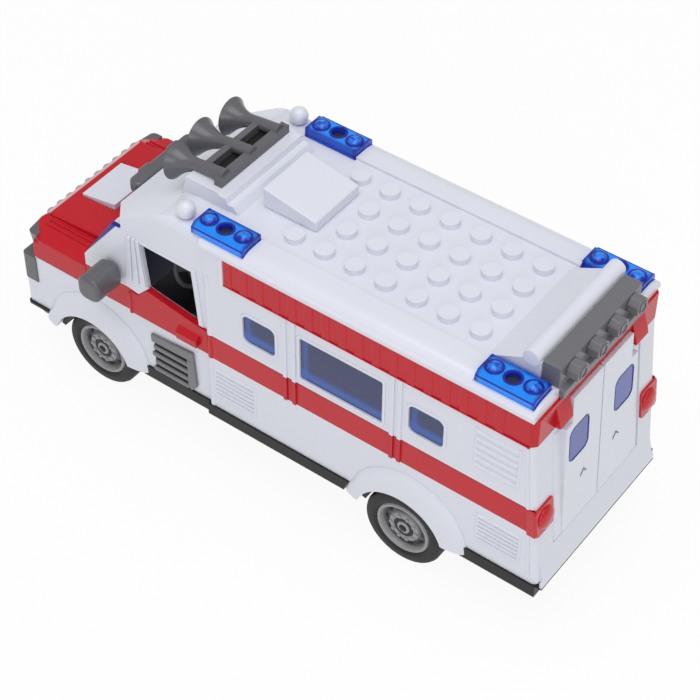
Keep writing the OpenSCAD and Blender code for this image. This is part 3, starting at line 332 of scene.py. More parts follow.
def plate(shape, outline, holes, low, high, place):
    """A flat plate with openings, between two planes."""
    loops = [outline, *holes]
    walls = []
    for w in (low, high):
        rings = [[shape.verts.new(place(u, v, w)) for u, v in loop] for loop in loops]
        edges = []
        for ring in rings:
            edges += [shape.edges.new((ring[i], ring[(i + 1) % len(ring)])) for i in range(len(ring))]
        bmesh.ops.triangle_fill(shape, use_beauty=True, edges=edges)
        walls.append(rings)
    for lower, upper in zip(*walls):
        for i in range(len(lower)):
            j = (i + 1) % len(lower)
            shape.faces.new((lower[i], lower[j], upper[j], upper[i]))


def turned(shape, profile, place, turns=40):
    """A body turned about the axis through u = v = 0 from (radius, height) points."""
    rings = []
    for radius, w in profile:
        if radius == 0:
            rings.append([shape.verts.new(place(0, 0, w))])
            continue
        ring = []
        for i in range(turns):
            a = 2 * math.pi * i / turns
            ring.append(shape.verts.new(place(radius * math.cos(a), radius * math.sin(a), w)))
        rings.append(ring)
    for lower, upper in zip(rings, rings[1:]):
        for i in range(turns):
            j = (i + 1) % turns
            corners = [lower[i % len(lower)], lower[j % len(lower)]]
            corners += [upper[j % len(upper)], upper[i % len(upper)]]
            distinct = list(dict.fromkeys(corners))
            if len(distinct) > 2:
                shape.faces.new(distinct)


def lofted(shape, loops):
    """A closed body through loops of as many points."""
    count = len(loops[0])
    for first, second in zip(loops, loops[1:]):
        for i in range(count):
            j = (i + 1) % count
            shape.faces.new((first[i], first[j], second[j], second[i]))
    shape.faces.new(loops[0])
    shape.faces.new(loops[-1])


def half_round(centre, base, half_width, height, steps=9):
    """Section of a moulded bead: half an ellipse on its base."""
    angles = [math.pi * i / steps for i in range(steps + 1)]
    return [(centre + half_width * math.cos(a), base + height * math.sin(a)) for a in angles]


def window(cx, cz, width, height, radius, steps=8):
    """Outline of a window with round corners."""
    points = []
    for sx, sz, turn in ((1, 1, 0), (-1, 1, 90), (-1, -1, 180), (1, -1, 270)):
        for i in range(steps + 1):
            a = math.radians(turn + 90 * i / steps)
            points.append((cx + sx * (width / 2 - radius) + radius * math.cos(a),
                           cz + sz * (height / 2 - radius) + radius * math.sin(a)))
    return points


# Skirts: the white wall of the shell runs down over the sill at both ends, in one piece
# with it, and leaves a thin dark line of the chassis below.
NOSE_FRONT = 111.3
NOSE_CORNER = 1.4
NOSE_REAR = 98.4
rear_foot = [(-111.45, 23.2), (-110.4, 23.2), (-110.3, 25.3), (-111.45, 25.3)]
rear_sill = [(-111.45, 22.4), (-110.0, 22.4), (-110.0, 23.3), (-111.45, 23.3)]
corner = []
for i in range(11):
    a = math.radians(9 * i)
    corner.append((NOSE_FRONT - NOSE_CORNER + NOSE_CORNER * math.sin(a),
                   CAB_SIDE - NOSE_CORNER + NOSE_CORNER * math.cos(a)))
other_corner = [(u, -v) for u, v in reversed(corner)]
nose_foot = [(NOSE_REAR, CAB_SIDE), *corner, *other_corner, (NOSE_REAR, -CAB_SIDE)]
skirt = bmesh.new()
prism(skirt, rear_foot, -CAB_SIDE, CAB_SIDE, on_left)
prism(skirt, nose_foot, 24.4, 25.3, upwards)
make("skirt_feet", skirt, white_plastic, "vehicle", 0.2)
sill = bmesh.new()
prism(sill, rear_sill, -CAB_SIDE, CAB_SIDE, on_left)
make("sill_rear", sill, black_plastic, "vehicle", 0.2)

# Wheel well edges: the black liner of the chassis ends just inside each arch, so that no
# light shows between the tyre and the body.
FRONT_AXLE = 79.3
REAR_AXLE = -57.3
AXLE_Z = 15.4
LINER_OUTER = 17.75
LINER_INNER = 16.1
LINERS = ((FRONT_AXLE, 23.0, CAB_SIDE - 0.4), (REAR_AXLE, 24.0, BOX_SIDE - 0.4))
arc = [math.radians(17 + 146 * i / 36) for i in range(37)]
there_and_back = [(LINER_OUTER, a) for a in arc] + [(LINER_INNER, a) for a in reversed(arc)]
liners = bmesh.new()
for side in SIDES:
    for axle_x, inner, outer in LINERS:
        ring = [(axle_x + r * math.cos(a), AXLE_Z + r * math.sin(a)) for r, a in there_and_back]
        plate(liners, ring, [], inner, outer, side)
make("arch_liners", liners, black_plastic, "vehicle")

# Fenders: each arch carries a broad white crescent, moulded in one piece with the wall. It
# is highest at the tyre and runs out at its outer edge.
ARCH = 17.85
CRESCENT = 23.6
CRESCENT_SHIFT = Vector((-2.4, 5.0))
CROWN = 2.2
section = [(k / 8, 0.35 + CROWN * math.sqrt(1 - (k / 8) ** 2)) for k in range(9)]
section += [(1, -0.4), (0, -0.4)]
fenders = bmesh.new()
for side in SIDES:
    for axle_x, wall in ((FRONT_AXLE, CAB_SIDE), (REAR_AXLE, BOX_SIDE)):
        loops = []
        for i in range(41):
            a = math.radians(18.3 + 143.4 * i / 40)
            b = math.radians(1.0 + 176.0 * i / 40)
            inner = Vector((ARCH * math.cos(a), ARCH * math.sin(a)))
            outer = Vector((CRESCENT * math.cos(b), CRESCENT * math.sin(b))) + CRESCENT_SHIFT
            loop = []
            for share, height in section:
                spot = inner.lerp(outer, share)
                loop.append(fenders.verts.new(side(axle_x + spot.x, AXLE_Z + spot.y, wall + height)))
            loops.append(loop)
        lofted(fenders, loops)
make("wheel_fenders", fenders, white_plastic, "vehicle")

# Raised lips round the side windows, louvre panels and corner beads: all moulded in the
# shell, drawn here as thin white bands on its walls.
WINDOW_Z = 71.8
SMALL_WINDOW = (13.4, 12.2, 2.4)
LARGE_WINDOW = (33.0, 18.8, 0.7)
LARGE_X = -31.6
WINDOWS = ((1.8, SMALL_WINDOW), (LARGE_X, LARGE_WINDOW), (-65.0, SMALL_WINDOW))
LIP = 1.1
lips = bmesh.new()
for side in SIDES:
    for cx, (width, height, radius) in WINDOWS:
        outer = window(cx, WINDOW_Z, width + 2 * LIP, height + 2 * LIP, radius + LIP)
        inner = window(cx, WINDOW_Z, width, height, radius)
        collar(lips, outer, inner, BOX_SIDE - 0.3, BOX_SIDE + 0.45, side)
make("window_lips", lips, white_plastic, "vehicle", 0.22)

# Rear and front end, foot, top and number of slats of each louvre panel.
PANELS = ((4.6, 21.8, 30.8, 44.8, 7), (-102.4, -86.2, 31.4, 44.8, 7), (-99.6, -83.6, 65.4, 83.6, 6))
louvres = bmesh.new()
for side in SIDES:
    for rear, front, low, high, count in PANELS:
        for end in (rear, front):
            prism(louvres, half_round(end, BOX_SIDE - 0.1, 0.6, 0.6), low, high, standing(side))
        pitch = (high - low) / count
        for i in range(count):
            slat = half_round(low + (i + 0.5) * pitch, BOX_SIDE - 0.1, 0.34 * pitch, 0.75, 8)
            prism(louvres, slat, rear + 0.3, front - 0.3, lying(side))
make("louvre_panels", louvres, white_plastic, "vehicle")

bead = half_round(BOX_FRONT - 1.1, BOX_SIDE - 0.25, 1.1, 0.75)
post = [(-107.2, 28.0), (-106.1, 28.0), (-101.3, 86.2), (-102.4, 86.2)]
beads = bmesh.new()
for side in SIDES:
    prism(beads, bead, 25.2, 86.4, standing(side))
    prism(beads, post, BOX_SIDE - 0.3, BOX_SIDE + 0.35, side)
make("corner_beads", beads, body_paint, "vehicle")

# Cab doors: the lower panel stands out to the line of the box and its top is the red
# window ledge; pillar ribs and the grab handle are moulded with it.
DOOR_REAR = BOX_FRONT + 0.2
DOOR_FOOT = BELT_LOW + 0.3
panel = [(DOOR_REAR, DOOR_FOOT), (59.6, DOOR_FOOT), (59.6, 58.4), (58.6, 59.4),
         (55.4, 59.0), (51.1, 63.5), (28.7, 59.9), (DOOR_REAR, 59.3)]
grip = [(51.0, CAB_SIDE + 0.6), (50.4, CAB_SIDE + 2.6), (53.6, CAB_SIDE + 2.8), (56.2, CAB_SIDE + 0.6)]
ridge = half_round(59.0, CAB_SIDE + 0.6, 0.8, 0.9)
door_panels = bmesh.new()
for side in SIDES:
    prism(door_panels, panel, CAB_SIDE - 0.4, CAB_SIDE + 1.0, side)
    prism(door_panels, grip, 28.6, 37.6, lying(side))
    prism(door_panels, ridge, BELT_LOW + 0.2, 58.6, standing(side))
make("cab_door_panels", door_panels, red_plastic, "vehicle", 0.35)

RIB_FOOT = 64.2
RIB_TOP = 84.7
toe = [(50.4, 64.6), (55.2, 59.2), (61.3, 60.4), (61.2, 64.6)]
pillars = bmesh.new()
for side in SIDES:
    for i in range(3):
        foot = 51.5 + 3.2 * i
        top = 53.4 + 1.8 * i
        strip = [(foot, RIB_FOOT), (foot + 2.6, RIB_FOOT), (top + 1.4, RIB_TOP), (top, RIB_TOP)]
        prism(pillars, strip, CAB_SIDE - 0.4, CAB_SIDE + 0.9, side)
    prism(pillars, toe, CAB_SIDE - 0.4, CAB_SIDE + 0.7, side)
make("pillar_ribs", pillars, white_plastic, "vehicle", 0.35)

rear_post = [(26.6, 60.0), (28.7, 60.1), (30.8, 83.4), (30.6, 84.8), (28.9, 84.8)]
head = [(30.6, 83.4), (53.0, 83.7), (53.0, 84.8), (30.4, 84.8)]
band_end = [(16.1, 85.6), (18.0, 85.6), (18.0, 98.0), (16.1, 98.0)]
frames = bmesh.new()
for side in SIDES:
    prism(frames, rear_post, CAB_SIDE - 0.4, CAB_SIDE + 0.6, side)
    prism(frames, head, CAB_SIDE - 0.4, CAB_SIDE + 0.45, side)
    prism(frames, band_end, BOX_SIDE - 0.4, BOX_SIDE + 0.5, side)
make("cab_window_frames", frames, white_plastic, "vehicle", 0.3)

# Fluted band under the roof: a separate red moulding slid over the top of the box, with
# two lugs over the rear doors and a thin foot along each side.
LEAN = math.radians(5.7)
REAR_FOOT = Vector((-110.0, 0.0, 25.0))
LUG_Y = 22.4
LUG_HALF = 3.7
softened("eaves_band", red_plastic, 0.12)


def on_rear(y, up, out):
    """Across the rear wall, up along it and outwards."""
    along = Vector((math.sin(LEAN), 0, math.cos(LEAN)))
    outward = Vector((-math.cos(LEAN), 0, math.sin(LEAN)))
    return (REAR_FOOT + Vector((0, y, 0)) + up * along + out * outward) * MM


wedge = [(63.2, -0.5), (63.2, 2.9), (65.4, 2.7), (73.2, 0.9), (73.2, -0.5)]
band_foot = [(-102.6, 86.6), (16.0, 86.6), (16.0, 87.0), (-102.6, 87.0)]
lugs = bmesh.new()
for centre in (-LUG_Y, LUG_Y):
    prism(lugs, wedge, centre - LUG_HALF, centre + LUG_HALF, lying(on_rear))
for side in SIDES:
    prism(lugs, band_foot, BOX_SIDE, BOX_SIDE + 0.6, side)
make("band_lugs", lugs, red_plastic, "vehicle", 0.4)

# Roof shell with its studs, caps, air-conditioning box and rear fairing: white gloss
# mouldings that clip on the box; the caps and boxes are glued on.
AIR_CON_WIDER = 1.13
AIR_CON_MIDDLE = 10.0
AIR_CON_FORWARD = 0.7
AIR_CON_EDGE = 105.0
AIR_CON_RISE = 2.1
set_back(softened("roof_shell", white_plastic, 0.45), CAB_CORNER, CAB_CORNER_BACK)
softened("roof_knobs", white_plastic, 0.3)
strip = [(98.1, BOX_SIDE - 0.6), (98.1, BOX_SIDE + 0.7), (99.9, BOX_SIDE + 0.7), (101.0, BOX_SIDE - 0.6)]
gutter = bmesh.new()
for side in SIDES:
    prism(gutter, strip, -103.0, 25.6, lying(side))
make("roof_gutters", gutter, white_plastic, "vehicle", 0.3)
roof_box = softened("air_con_box", white_plastic, 0.6, 3)
for vertex in roof_box.data.vertices:
    vertex.co.y *= AIR_CON_WIDER
    if vertex.co.x > AIR_CON_MIDDLE * MM:
        vertex.co.x += AIR_CON_FORWARD * MM
        if vertex.co.z > AIR_CON_EDGE * MM:
            vertex.co.z += AIR_CON_RISE * MM
softened("rear_fairing", white_plastic, 0.5)

# Hood: red gloss moulding with a raised middle, screwed from inside, and the white press
# button that stands through it on a spring.
HOOD_CORNER = (104.0, 33.0, 53.0)
HOOD_CORNER_BACK = 3.0
CREST_Y = 26.0
CREST_Z = 60.6
CREST_FALL = 0.245
RIDGE = 0.55
BROW_Z = 56.6
BROW_KNEE = 30.0
set_back(softened("hood", red_plastic, 0.7, 3), HOOD_CORNER, HOOD_CORNER_BACK)
softened("sound_button", white_plastic, 0.45)
brow = [(104.6, 25.2), (102.0, 35.3), (103.9, 35.2), (108.6, 29.2), (108.6, 26.6), (107.4, 25.2)]
cheek = [(102.2, 48.8), (106.3, 48.8), (105.5, 56.2), (102.2, 56.6)]
front_lip = [(105.0, 60.2), (106.5, 60.2), (106.5, 61.3), (106.1, 61.7), (105.0, 61.7)]


def over_lamp(side):
    """Along the toy, outwards, and from the foot of the brow (0) to its top (1)."""
    return lambda u, w, v: side(u, BROW_Z + v * (1.2 + 0.72 * max(0.0, BROW_KNEE - w)), w)


hood_lines = bmesh.new()
for side in SIDES:
    for y in (26.4, 28.4):
        crest = CREST_Z - (y - CREST_Y) * CREST_FALL + 0.1
        turns = [math.radians(30 * i) for i in range(12)]
        ridge = [(crest + RIDGE * math.sin(a), y + RIDGE * math.cos(a)) for a in turns]
        prism(hood_lines, ridge, 80.6, 105.0, lying(side))
    prism(hood_lines, brow, 0.0, 1.0, over_lamp(side))
    prism(hood_lines, cheek, 33.6, 35.35, side)
prism(hood_lines, front_lip, -24.9, 24.9, on_left)
make("hood_lines", hood_lines, red_plastic, "vehicle", 0.3)

# Grey trim: bumper, headlamp shells, visor bar, horns and the rear bar with its lamps are
# satin ABS mouldings pressed into slots of the shell.
GREY = (0.120, 0.120, 0.134)
BAR_GREY = (0.155, 0.155, 0.172)
grey_plastic = moulded("grey_plastic", GREY, 0.26, 0.00001, 0.045)
bar_grey = moulded("bar_grey", BAR_GREY, 0.30, 0.00002, 0.06)
softened("front_bumper", grey_plastic, 0.5)
plan = [(105.6, -35.6), (110.6, -35.6), (110.9, -35.2), (110.9, 35.2), (110.6, 35.6), (105.6, 35.6)]
bumper_top = bmesh.new()
prism(bumper_top, plan, 48.2, 48.7, upwards)
make("bumper_ledge", bumper_top, grey_plastic, "vehicle", 0.15)

HORN_ROOT = 41.0
HORN_LENGTH = 16.4
HORN_BACK = 2.1
HORN_DROP = 1.7
horns = softened("horn_set", grey_plastic, 0.3)
for vertex in horns.data.vertices:
    reach = min(1.0, max(0.0, (vertex.co.x - HORN_ROOT * MM) / (HORN_LENGTH * MM)))
    vertex.co.x -= HORN_BACK * MM * reach
    vertex.co.z -= HORN_DROP * MM * reach
softened("rear_bar", bar_grey, 0.35)
softened("rear_bar_lamps", bar_grey, 0.3)

HEADLAMP_FOOT = 49.0
HEADLAMP_HEIGHT = 7.5
HEADLAMP_INNER = 26.0
HEADLAMP_OUTER = 30.0
SWEEP_BACK = 0.14
NARROW_AT_FOOT = 0.72
NARROW_AT_TOP = 0.17
HEADLAMP_RISE = 0.8
for node in ("headlamp_left", "headlamp_right"):
    headlamp = softened(node, grey_plastic, 0.4)
    for vertex in headlamp.data.vertices:
        rise = (vertex.co.z - HEADLAMP_FOOT * MM) / (HEADLAMP_HEIGHT * MM)
        rise = min(1.0, max(0.0, rise))
        width = abs(vertex.co.y)
        vertex.co.x -= SWEEP_BACK * rise * max(0.0, width - HEADLAMP_INNER * MM)
        narrowing = NARROW_AT_FOOT + (NARROW_AT_TOP - NARROW_AT_FOOT) * rise
        inwards = narrowing * max(0.0, width - HEADLAMP_OUTER * MM)
        vertex.co.y -= math.copysign(inwards, vertex.co.y)
        vertex.co.z += HEADLAMP_RISE * MM * rise

visor = bmesh.new()
prism(visor, window(72.2, 0, 5.8, 33.0, 2.8), 82.7, 87.5, upwards)
for y in (-7.6, 7.6):
    prism(visor, window(74.0, y, 3.4, 6.4, 1.4), 83.4, 87.7, upwards)
visor_piece = make("visor_bar_moulding", visor, grey_plastic, "vehicle", 1.1, 4)
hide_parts("visor_bar")


def rearwards(v, w, u):
    """Across the toy, up and out to the rear."""
    return Vector((-u, v, w)) * MM


REAR_LAMP_Z = 106.8
lamp_rings = bmesh.new()
for y in (-17.4, -5.8, 5.8, 17.4):
    outer = window(y, REAR_LAMP_Z, 4.0, 4.4, 1.4)
    inner = window(y, REAR_LAMP_Z, 2.6, 3.0, 0.9)
    collar(lamp_rings, outer, inner, 107.2, 107.75, rearwards)
make("lamp_rings", lamp_rings, bar_grey, "vehicle", 0.15)
floor_of_tray = [(34.2, -13.8), (39.2, -13.8), (39.2, 13.8), (34.2, 13.8)]
tray = bmesh.new()
prism(tray, floor_of_tray, 107.3, 107.9, upwards)
make("horn_tray", tray, black_plastic, "vehicle", 0.2)

# Step grilles: grey mouldings under the cab doors, with a plain head, four free slats and
# a broad frame at the rear; the gaps between the slats show the dark sill behind.
STEP_GREY = (0.185, 0.185, 0.20)
SLAT_FOOT = 25.4
SLAT_PITCH = 3.6
SLAT_HEIGHT = 2.0
SLAT_REAR = 34.6
SLAT_FRONTS = (50.7, 49.8, 50.9, 50.2)
step_grey = moulded("step_grey", STEP_GREY, 0.32, 0.00002, 0.06)
step_head = [(51.0, 43.1), (31.9, 44.6), (31.6, 40.2), (50.9, 39.6)]
step_frame = [(31.6, 40.4), (34.9, 40.3), (34.9, 27.0), (33.5, 25.3), (30.9, 28.6)]
step_back = [(50.2, 42.0), (32.4, 43.6), (31.6, 28.8), (33.9, 25.8), (50.2, 25.8)]
for side, node in ((on_left, "step_grille_left"), (on_right, "step_grille_right")):
    step = bmesh.new()
    prism(step, step_head, CAB_SIDE, BOX_SIDE, side)
    prism(step, step_frame, CAB_SIDE, BOX_SIDE, side)
    for i, reach in enumerate(SLAT_FRONTS):
        low = SLAT_FOOT + SLAT_PITCH * i
        high = low + SLAT_HEIGHT
        slat = [(SLAT_REAR, low), (reach, low), (reach, high), (SLAT_REAR, high)]
        prism(step, slat, CAB_SIDE, BOX_SIDE - 0.1, side)
    step_piece = make(node + "_slats", step, step_grey, "vehicle", 0.45)
    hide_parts(node)
    backing = bmesh.new()
    prism(backing, step_back, CAB_SIDE - 0.2, CAB_SIDE + 0.25, side)
    make(node + "_backing", backing, black_plastic, "vehicle", 0.1)

# Mirrors: grey housings with round corners, each on a short square arm that is pressed
# into the cab wall below the windscreen pillar.
mirror_arm = [(63.6, 61.7), (68.4, 61.7), (68.4, 65.9), (63.6, 65.9)]
for side, node in ((on_left, "mirror_left"), (on_right, "mirror_right")):
    mirror = bmesh.new()
    prism(mirror, window(66.5, 64.6, 9.6, 10.0, 3.6), 36.5, 49.15, side)
    prism(mirror, mirror_arm, CAB_SIDE, CAB_SIDE + 3.4, side)
    mirror_piece = make(node + "_housing", mirror, grey_plastic, "vehicle", 1.5, 4)
    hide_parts(node)

# Grille: a light grey moulding under the front edge of the hood, between the headlamps.
# It has ten low round ribs and a pale strip along its upper edge.
LIGHT_GREY = (0.33, 0.33, 0.345)
STRIP_GREY = (0.66, 0.47, 0.49)
RIB_PITCH = 5.0
RIB_BASE = 107.3
light_grey_plastic = moulded("light_grey_plastic", LIGHT_GREY, 0.34, 0.00002, 0.05)
grille_grey = moulded("grille_grey", STRIP_GREY, 0.34, 0.00002, 0.05)
softened("grille", light_grey_plastic, 0.5)
strip = [(106.2, 59.4), (107.9, 59.4), (107.9, 61.0), (107.5, 61.5), (106.2, 61.5)]
edge_strip = bmesh.new()
prism(edge_strip, strip, -24.6, 24.6, on_left)
make("grille_strip", edge_strip, grille_grey, "vehicle", 0.15)
ribs = bmesh.new()
for i in range(10):
    scallop = half_round((i - 4.5) * RIB_PITCH, RIB_BASE, 2.1, 1.7, 12)
    prism(ribs, [(u, v) for v, u in scallop], 49.4, 60.8, upwards)
make("grille_ribs", ribs, light_grey_plastic, "vehicle", 0.3)

# Wheel rims: light grey mouldings with a bead round the edge, a dish with ten slots, a
# hub ring with bolt heads and a dark axle cap, pressed on the axles.
DISH_GREY = (0.075, 0.075, 0.084)
RIM_DEPTH = 10.4
SLOTS = 10
SLOT_CIRCLE = 7.3
BOLT_CIRCLE = 5.0
RIM_PROFILE = ((3.6, 0.0), (3.6, 5.4), (8.4, 6.0), (8.4, 1.0), (10.6, 1.0), (10.6, 9.6), (10.2, 10.1),
               (9.5, 10.15), (9.1, 9.7), (8.8, 8.2), (8.2, 7.7), (6.3, 8.3), (5.9, 9.1), (5.4, 9.4),
               (4.2, 9.4), (3.9, 9.0), (2.6, 9.0), (2.4, 9.5), (1.9, 9.7), (0.0, 9.8))
DISH_PROFILE = ((9.05, 9.3), (8.85, 8.25), (8.2, 7.8), (6.35, 8.4), (6.35, 8.0), (8.2, 7.4),
                (9.05, 8.0), (9.05, 9.3))
BOLT_PROFILE = ((0.75, 9.0), (0.75, 9.7), (0.45, 9.95), (0.0, 9.95))
HUB_RING = ((3.85, 8.8), (3.85, 9.3), (2.55, 9.3), (2.55, 8.8), (3.85, 8.8))
AXLE_CAP = ((1.5, 9.4), (1.5, 9.9), (1.2, 10.05), (0.0, 10.1))
dish_grey = moulded("dish_grey", DISH_GREY, 0.34, 0.00002, 0.06)
slot = window(0, 0, 1.4, 2.0, 0.6, 4)
for axle_x, track, name in ((FRONT_AXLE, 33.4, "front"), (REAR_AXLE, 36.7, "rear")):
    rims = bmesh.new()
    marks = bmesh.new()
    dishes = bmesh.new()
    for sign in (1, -1):
        def on_wheel(u, v, w, sign=sign, axle_x=axle_x, track=track):
            """Forwards and up from the middle of the wheel, and outwards."""
            return Vector((axle_x + u, sign * (track - RIM_DEPTH + w), AXLE_Z + v)) * MM

        turned(rims, RIM_PROFILE, on_wheel, 56)
        for i in range(SLOTS):
            a = 2 * math.pi * i / SLOTS

            def on_dish(u, v, w, a=a, on_wheel=on_wheel):
                """Away from the hub and across at the angle of one slot, and outwards."""
                r = SLOT_CIRCLE + u
                return on_wheel(r * math.cos(a) - v * math.sin(a), r * math.sin(a) + v * math.cos(a), w)

            def on_bolt(u, v, w, a=a, on_wheel=on_wheel):
                """Round the middle of one bolt head, and outwards."""
                return on_wheel(BOLT_CIRCLE * math.cos(a) + u, BOLT_CIRCLE * math.sin(a) + v, w)

            prism(marks, slot, 7.6, 8.3, on_dish)
            turned(rims, BOLT_PROFILE, on_bolt, 12)
        turned(dishes, DISH_PROFILE, on_wheel, 56)
        turned(marks, HUB_RING, on_wheel, 32)
        turned(marks, AXLE_CAP, on_wheel, 24)
    body = BODY_OF[name + "_rims"]
    rims_piece = make(name + "_rims_moulding", rims, light_grey_plastic, body)
    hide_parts(name + "_rims")
    make(name + "_rim_dish", dishes, dish_grey, body)
    make(name + "_rim_slots", marks, black_plastic, body, 0.1)


# Beacons: blue lenses of clear tinted styrene, polished in the tool, with two low domes
# and a round recess in the middle for the one screw that holds each. The lens colour is
# painted light and shade: a glowing bright blue, with painted shade round the domes, along
# the ends and in the screw recess.
BEACON_X = (19.3, -91.0)
BEACON_Y = 30.4
BEACON_Z = 101.2
DOME_X = 7.0
DOME_IN = 0.4
# Painted light and shade: the lit and the shaded blue of the beacon lenses.
LIT_BEACON_BLUE = (0.008, 0.32, 1.0, 1)
SHADED_BEACON_BLUE = (0.006, 0.020, 0.40, 1)
SHADE_BLUE = (0.006, 0.018, 0.34)


def clear_tint(name, colour, depth, rough, glow=0.0):
    """Clear tinted plastic; a colour that varies is given as a function of the place. A glow
    above nought is painted light: the colour is given off as emission.
    """
    material, shader, place = new_finish(name)
    flow = place.clouds(120, 2)
    if callable(colour):
        tone = colour(place)
    else:
        tone = flow.blended(tinted(colour, 0.9), tinted(colour, 1.1))
    relief = place.add("ShaderNodeBump", {}, {"Strength": 0.2, "Distance": 0.00003, "Height": flow})
    feed(shader, Base_Color=tone, Emission_Color=tone, Roughness=rough + 0.04 * flow, Normal=relief)
    shader.inputs["Transmission Weight"].default_value = depth
    shader.inputs["IOR"].default_value = 1.49
    shader.inputs["Emission Strength"].default_value = glow
    return material


def beacon_light_and_shade(place):
    """Painted shade round the domes, in them, along the ends and in the recess of the screw, on a painted
    lit blue.
    """
    x, y, z = place.axes()
    middle = sum(BEACON_X) / 2
    along = abs(abs(x - middle) - (BEACON_X[0] - middle))
    across = abs(y) - BEACON_Y
    to_dome = along - DOME_X
    beside = across + DOME_IN
    from_dome = place.maths("SQRT", to_dome * to_dome + beside * beside)
    from_screw = place.maths("SQRT", along * along + across * across)
    ring = (1.0 - abs(from_dome - 2.5) * 0.75).clamped()
    rim = ((along - 9.2) * 0.8).clamped() + ((-3.2 - across) * 0.8).clamped()
    recess = (1.0 - (from_screw - 2.5) * 1.2).clamped()
    facet = ((place.clouds(520, 1) - 0.48) * 7.0).clamped() * ((3.0 - from_dome) * 2.0).clamped()
    mottled = ring * (0.3 + 0.9 * place.clouds(450))
    painted_shade = (mottled + 0.8 * rim + recess + 0.8 * facet).clamped()
    return painted_shade.blended(LIT_BEACON_BLUE, SHADED_BEACON_BLUE)


# Painted light: the lenses glow blue at strength 0.16 though they are no lamps.
blue_lens = clear_tint("blue_lens", beacon_light_and_shade, 0.45, 0.04, 0.16)
for node in ("beacon_front_left", "beacon_front_right", "beacon_rear_left", "beacon_rear_right"):
    softened(node, blue_lens, 0.3, 3)
# Painted shade: a darker copy of the blue tint, laid as thin dark lines on the beacon facets, along the
# windscreen edges and round the door panes.
shaded_blue = clear_tint("shaded_blue", SHADE_BLUE, 0.3, 0.06)
side_line = [(4.55, 2.2), (4.92, 2.2), (4.92, 2.7), (4.55, 2.7)]
end_line = [(-4.7, 3.3), (3.3, 3.3), (3.3, 3.85), (-4.7, 3.85)]
DOME_RING = ((3.2, 3.7), (3.2, 3.95), (2.6, 4.1), (2.6, 3.7), (3.2, 3.7))
SCREW_RING = ((3.3, 3.7), (3.3, 3.9), (2.4, 3.9), (2.4, 3.7), (3.3, 3.7))
# Painted shade: the facet lines, dome rings and screw ring of each beacon are laid in the shaded blue.
facets = bmesh.new()
for sign in (1, -1):
    for centre in BEACON_X:
        def on_beacon(u, v, w, sign=sign, centre=centre):
            """Along the beacon, outwards and up from its seat."""
            return Vector((centre + u, sign * (BEACON_Y + v), BEACON_Z + w)) * MM

        prism(facets, side_line, -10.5, 10.5, lying(on_beacon))
        for end in (-10.72, 10.5):
            prism(facets, end_line, end, end + 0.22, lying(on_beacon))
        for dome in (-DOME_X, DOME_X):
            def on_dome(u, v, w, dome=dome, on_beacon=on_beacon):
                """Round the middle of one dome, and up."""
                return on_beacon(dome + u, v - DOME_IN, w)

            turned(facets, DOME_RING, on_dome, 32)
        turned(facets, SCREW_RING, on_beacon, 32)
make("beacon_facets", facets, shaded_blue, "vehicle", 0.05)

# Glazing: the windscreen and one strip of panes behind each side are dark blue clear
# styrene, clipped in from inside. The foot and front edge of each side pane are painted
# brighter blue, as painted light.
SCREEN_BLUE = (0.13, 0.19, 0.72)
# The dark pane blue, and the brighter blue painted on it as light.
PANE_BLUE = (0.055, 0.075, 0.235, 1)
LIT_BLUE = (0.055, 0.20, 0.78, 1)
PANE_FRONTS = (6.6, -60.2, -17.0)
tinted_glazing = clear_tint("tinted_glazing", SCREEN_BLUE, 0.5, 0.05)
softened("windscreen", tinted_glazing, 0.15)
# Painted shade: dark blue strips along the side edges of the windscreen.
screen_edge = [(66.4, 85.2), (62.6, 85.2), (77.6, 65.0), (79.9, 65.0)]
screen_edges = bmesh.new()
for side in SIDES:
    prism(screen_edges, screen_edge, 33.0, CAB_SIDE - 0.6, side)
make("windscreen_edges", screen_edges, shaded_blue, "vehicle", 0.3)


def pane_painted_light(place):
    """Dark, with painted light: brighter blue at the foot and the front edge of each side window."""
    x, y, z = place.axes()
    large = abs(x - LARGE_X) < 18.0
    small_foot = WINDOW_Z - SMALL_WINDOW[1] / 2
    rise = z - small_foot + (LARGE_WINDOW[1] - SMALL_WINDOW[1]) / 2 * large
    foot = (1.25 - abs(rise - 2.3) * 0.45).clamped()
    front_edge = 0.0
    for front in PANE_FRONTS:
        front_edge = front_edge + (1.1 - abs(x - front) * 0.6).clamped()
    # Painted light at the foot and the front edge of each pane.
    painted_lit = (foot + 0.75 * front_edge * (0.5 + place.clouds(160))).clamped()
    return painted_lit.blended(PANE_BLUE, LIT_BLUE)


side_tint_painted_light = clear_tint("side_tint_painted_light", pane_painted_light, 0.5, 0.05)
for node in ("side_glazing_left", "side_glazing_right"):
    softened(node, side_tint_painted_light, 0.15)

# Tail lamps: red clear styrene, each a plate with a low dome on the rear wall and a wing
# that runs round the corner to the side.
LAMP_RED = (0.70, 0.010, 0.018)
TAIL_UP = 28.6
DOME_PROFILE = ((4.3, 0.6), (4.2, 1.2), (3.6, 1.75), (2.4, 2.2), (1.2, 2.4), (0.0, 2.45))
red_lens = clear_tint("red_lens", LAMP_RED, 0.20, 0.10)
wing = [(-107.9, 47.6), (-104.6, 47.6), (-103.5, 59.2), (-106.7, 59.2)]
for sign, side, node in ((1, on_left, "tail_lamp_left"), (-1, on_right, "tail_lamp_right")):
    def on_lamp(u, v, w, sign=sign):
        """Round the middle of the dome, and outwards."""
        return on_rear(sign * 31.6 + u, TAIL_UP + v, w)

    tail = bmesh.new()
    prism(tail, window(sign * 31.9, TAIL_UP, 10.2, 12.0, 1.6), -0.1, 0.8, on_rear)
    turned(tail, DOME_PROFILE, on_lamp)
    prism(tail, wing, BOX_SIDE - 0.2, BOX_SIDE + 0.5, side)
    tail_piece = make(node + "_lens", tail, red_lens, "vehicle", 0.4, 3)
    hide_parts(node)

